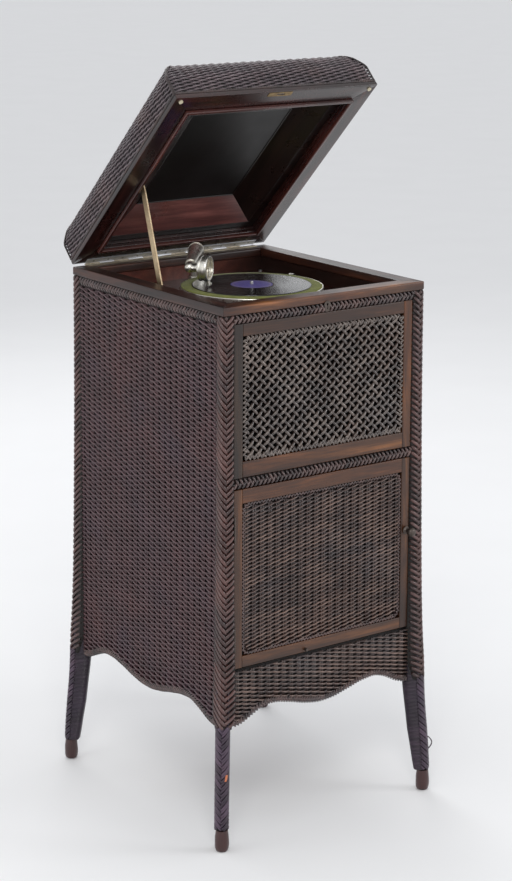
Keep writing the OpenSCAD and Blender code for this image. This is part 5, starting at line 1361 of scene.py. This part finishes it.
# ------------------------------------------------------------------ crank grip and feet
g = Geo()
M4 = tr(256 + 35.5, 103, 900) @ ry(90)
lathe(g, [(3.06, 0.0), (7.6, 0), (8.2, 0.8), (9, 4), (9, 6), (8.6, 10), (8.4, 14), (9.0, 20), (9.9, 28), (10.6, 36), (11, 43), (10.9, 48), (10.2, 52.5), (8.8, 55.6), (7.2, 56.8), (5.5, 57), (3.06, 57)], 56, M4)
build("grip_turned", g, "grip", ["grip_wood"], ["crank_grip"], use=("gc",), sharp=50)
g = Geo()
for sx, sy in CORNERS:
    lathe(g, [(0, 0), (9.6, 0), (11.2, 0.8), (12.6, 2.6), (13.8, 6), (14.5, 11), (14.6, 16), (14.4, 24), (14.0, 31), (13.2, 38), (12.4, 44.9), (0, 44.9)], 40,
          tr(sx * 266, sy * 293.5, 0), wave=lambda r, z, a: 0.25 * np.sin(a * 3 + z * 0.2) * (r > 5), tint=(1.0, 1.0, 1.0))
build("feet_turned", g, "cabinet", ["foot_wood"], ["foot_tips"], use=("edge", "gc", "tint"), sharp=50)

# ------------------------------------------------------------------ better materials on the solids that stay
GIVE = {"shelves": "cad_inner", "horn": "cad_horn", "horn_elbow": "black_iron", "motor_board": "cad_board", "board_screws": "steel", "motor_frame": "grey_iron",
        "crank_escutcheon": "nickel_clean", "speed_dial": "nickel_clean", "door_hinge_case": "dark_steel", "lid_hinge_case": "hinge_dim", "stay_bracket": "aged_brass",
        "lock_escutcheon": "dark_steel", "governor": "brass", "intermediate_shaft": "steel", "spring_barrel": "grey_iron", "mainspring": "blue_steel", "barrel_arbor": "steel",
        "crank_shaft": "steel", "crank_arm": "nickel_clean", "needle_chuck": "nickel", "needle": "steel", "needle_screw": "nickel", "brake_lever": "nickel_clean",
        "speed_lever": "nickel_clean", "door_hinge_leaves": "dark_steel", "door_peg": "dark_steel", "lid_bumpers": "buff", "strike_plate": "aged_brass",
        "lid_hinge_leaf": "hinge_nickel", "lid_hinge_screws": "steel", "stay_track": "aged_brass", "stay_bar": "stay_brass", "carcass_walls": "carcass"}
for nm, mt in GIVE.items():
    ob = NODE[nm]
    for sl_ in ob.material_slots:
        sl_.material = M[mt]

# ------------------------------------------------------------------ floor, light, world
def plain(name, col, rough=0.9):
    m = Mat(name)
    a = m.noise(m.co, 3.0, 2.0)
    return m.set(base=m.mix(m.range(a, 0.3, 0.7), col, tuple(c_ * 0.985 for c_ in col)), rough=rough, spec=0.2)
M["floor"] = plain("floor", (0.865, 0.868, 0.875))
me = bpy.data.meshes.new("floor")
n = 24
X, Y = np.meshgrid(np.linspace(-120, 120, n), np.linspace(-120, 120, n))
V = np.stack([X, Y, 0 * X - 0.0006], -1).reshape(-1, 3)
F = [(i * n + j, i * n + j + 1, (i + 1) * n + j + 1, (i + 1) * n + j) for i in range(n - 1) for j in range(n - 1)]
me.from_pydata([tuple(v) for v in V], [], F)
me.materials.append(M["floor"])
floor = bpy.data.objects.new("floor", me)
sc.collection.objects.link(floor)

def area(name, place, look, size, power, col=(1, 1, 1)):
    from mathutils import Vector
    L_ = bpy.data.lights.new(name, "AREA")
    L_.shape = "RECTANGLE"
    L_.size, L_.size_y = size
    L_.energy = power
    L_.color = col
    ob = bpy.data.objects.new(name, L_)
    ob.location = place
    ob.rotation_euler = (Vector(look) - Vector(place)).to_track_quat("-Z", "Y").to_euler()
    sc.collection.objects.link(ob)
area("key", (-2.4, -3.2, 3.6), (0, 0, 0.85), (1.6, 1.6), 62, (1.0, 0.985, 0.96))
area("fill", (3.4, -3.0, 1.9), (0, 0, 0.8), (1.4, 1.4), 42, (0.96, 0.98, 1.0))
area("rear", (1.2, 3.4, 3.2), (0, 0, 1.0), (2.6, 2.0), 40)
area("low", (-3.6, 0.6, 1.0), (0, 0, 0.7), (1.8, 1.8), 16)
w = bpy.data.worlds.new("studio")
w.use_nodes = True
w.node_tree.nodes["Background"].inputs[0].default_value = (0.93, 0.94, 0.96, 1)
w.node_tree.nodes["Background"].inputs[1].default_value = 0.84
sc.world = w
sc.view_settings.view_transform = "Standard"
sc.view_settings.look = "None"
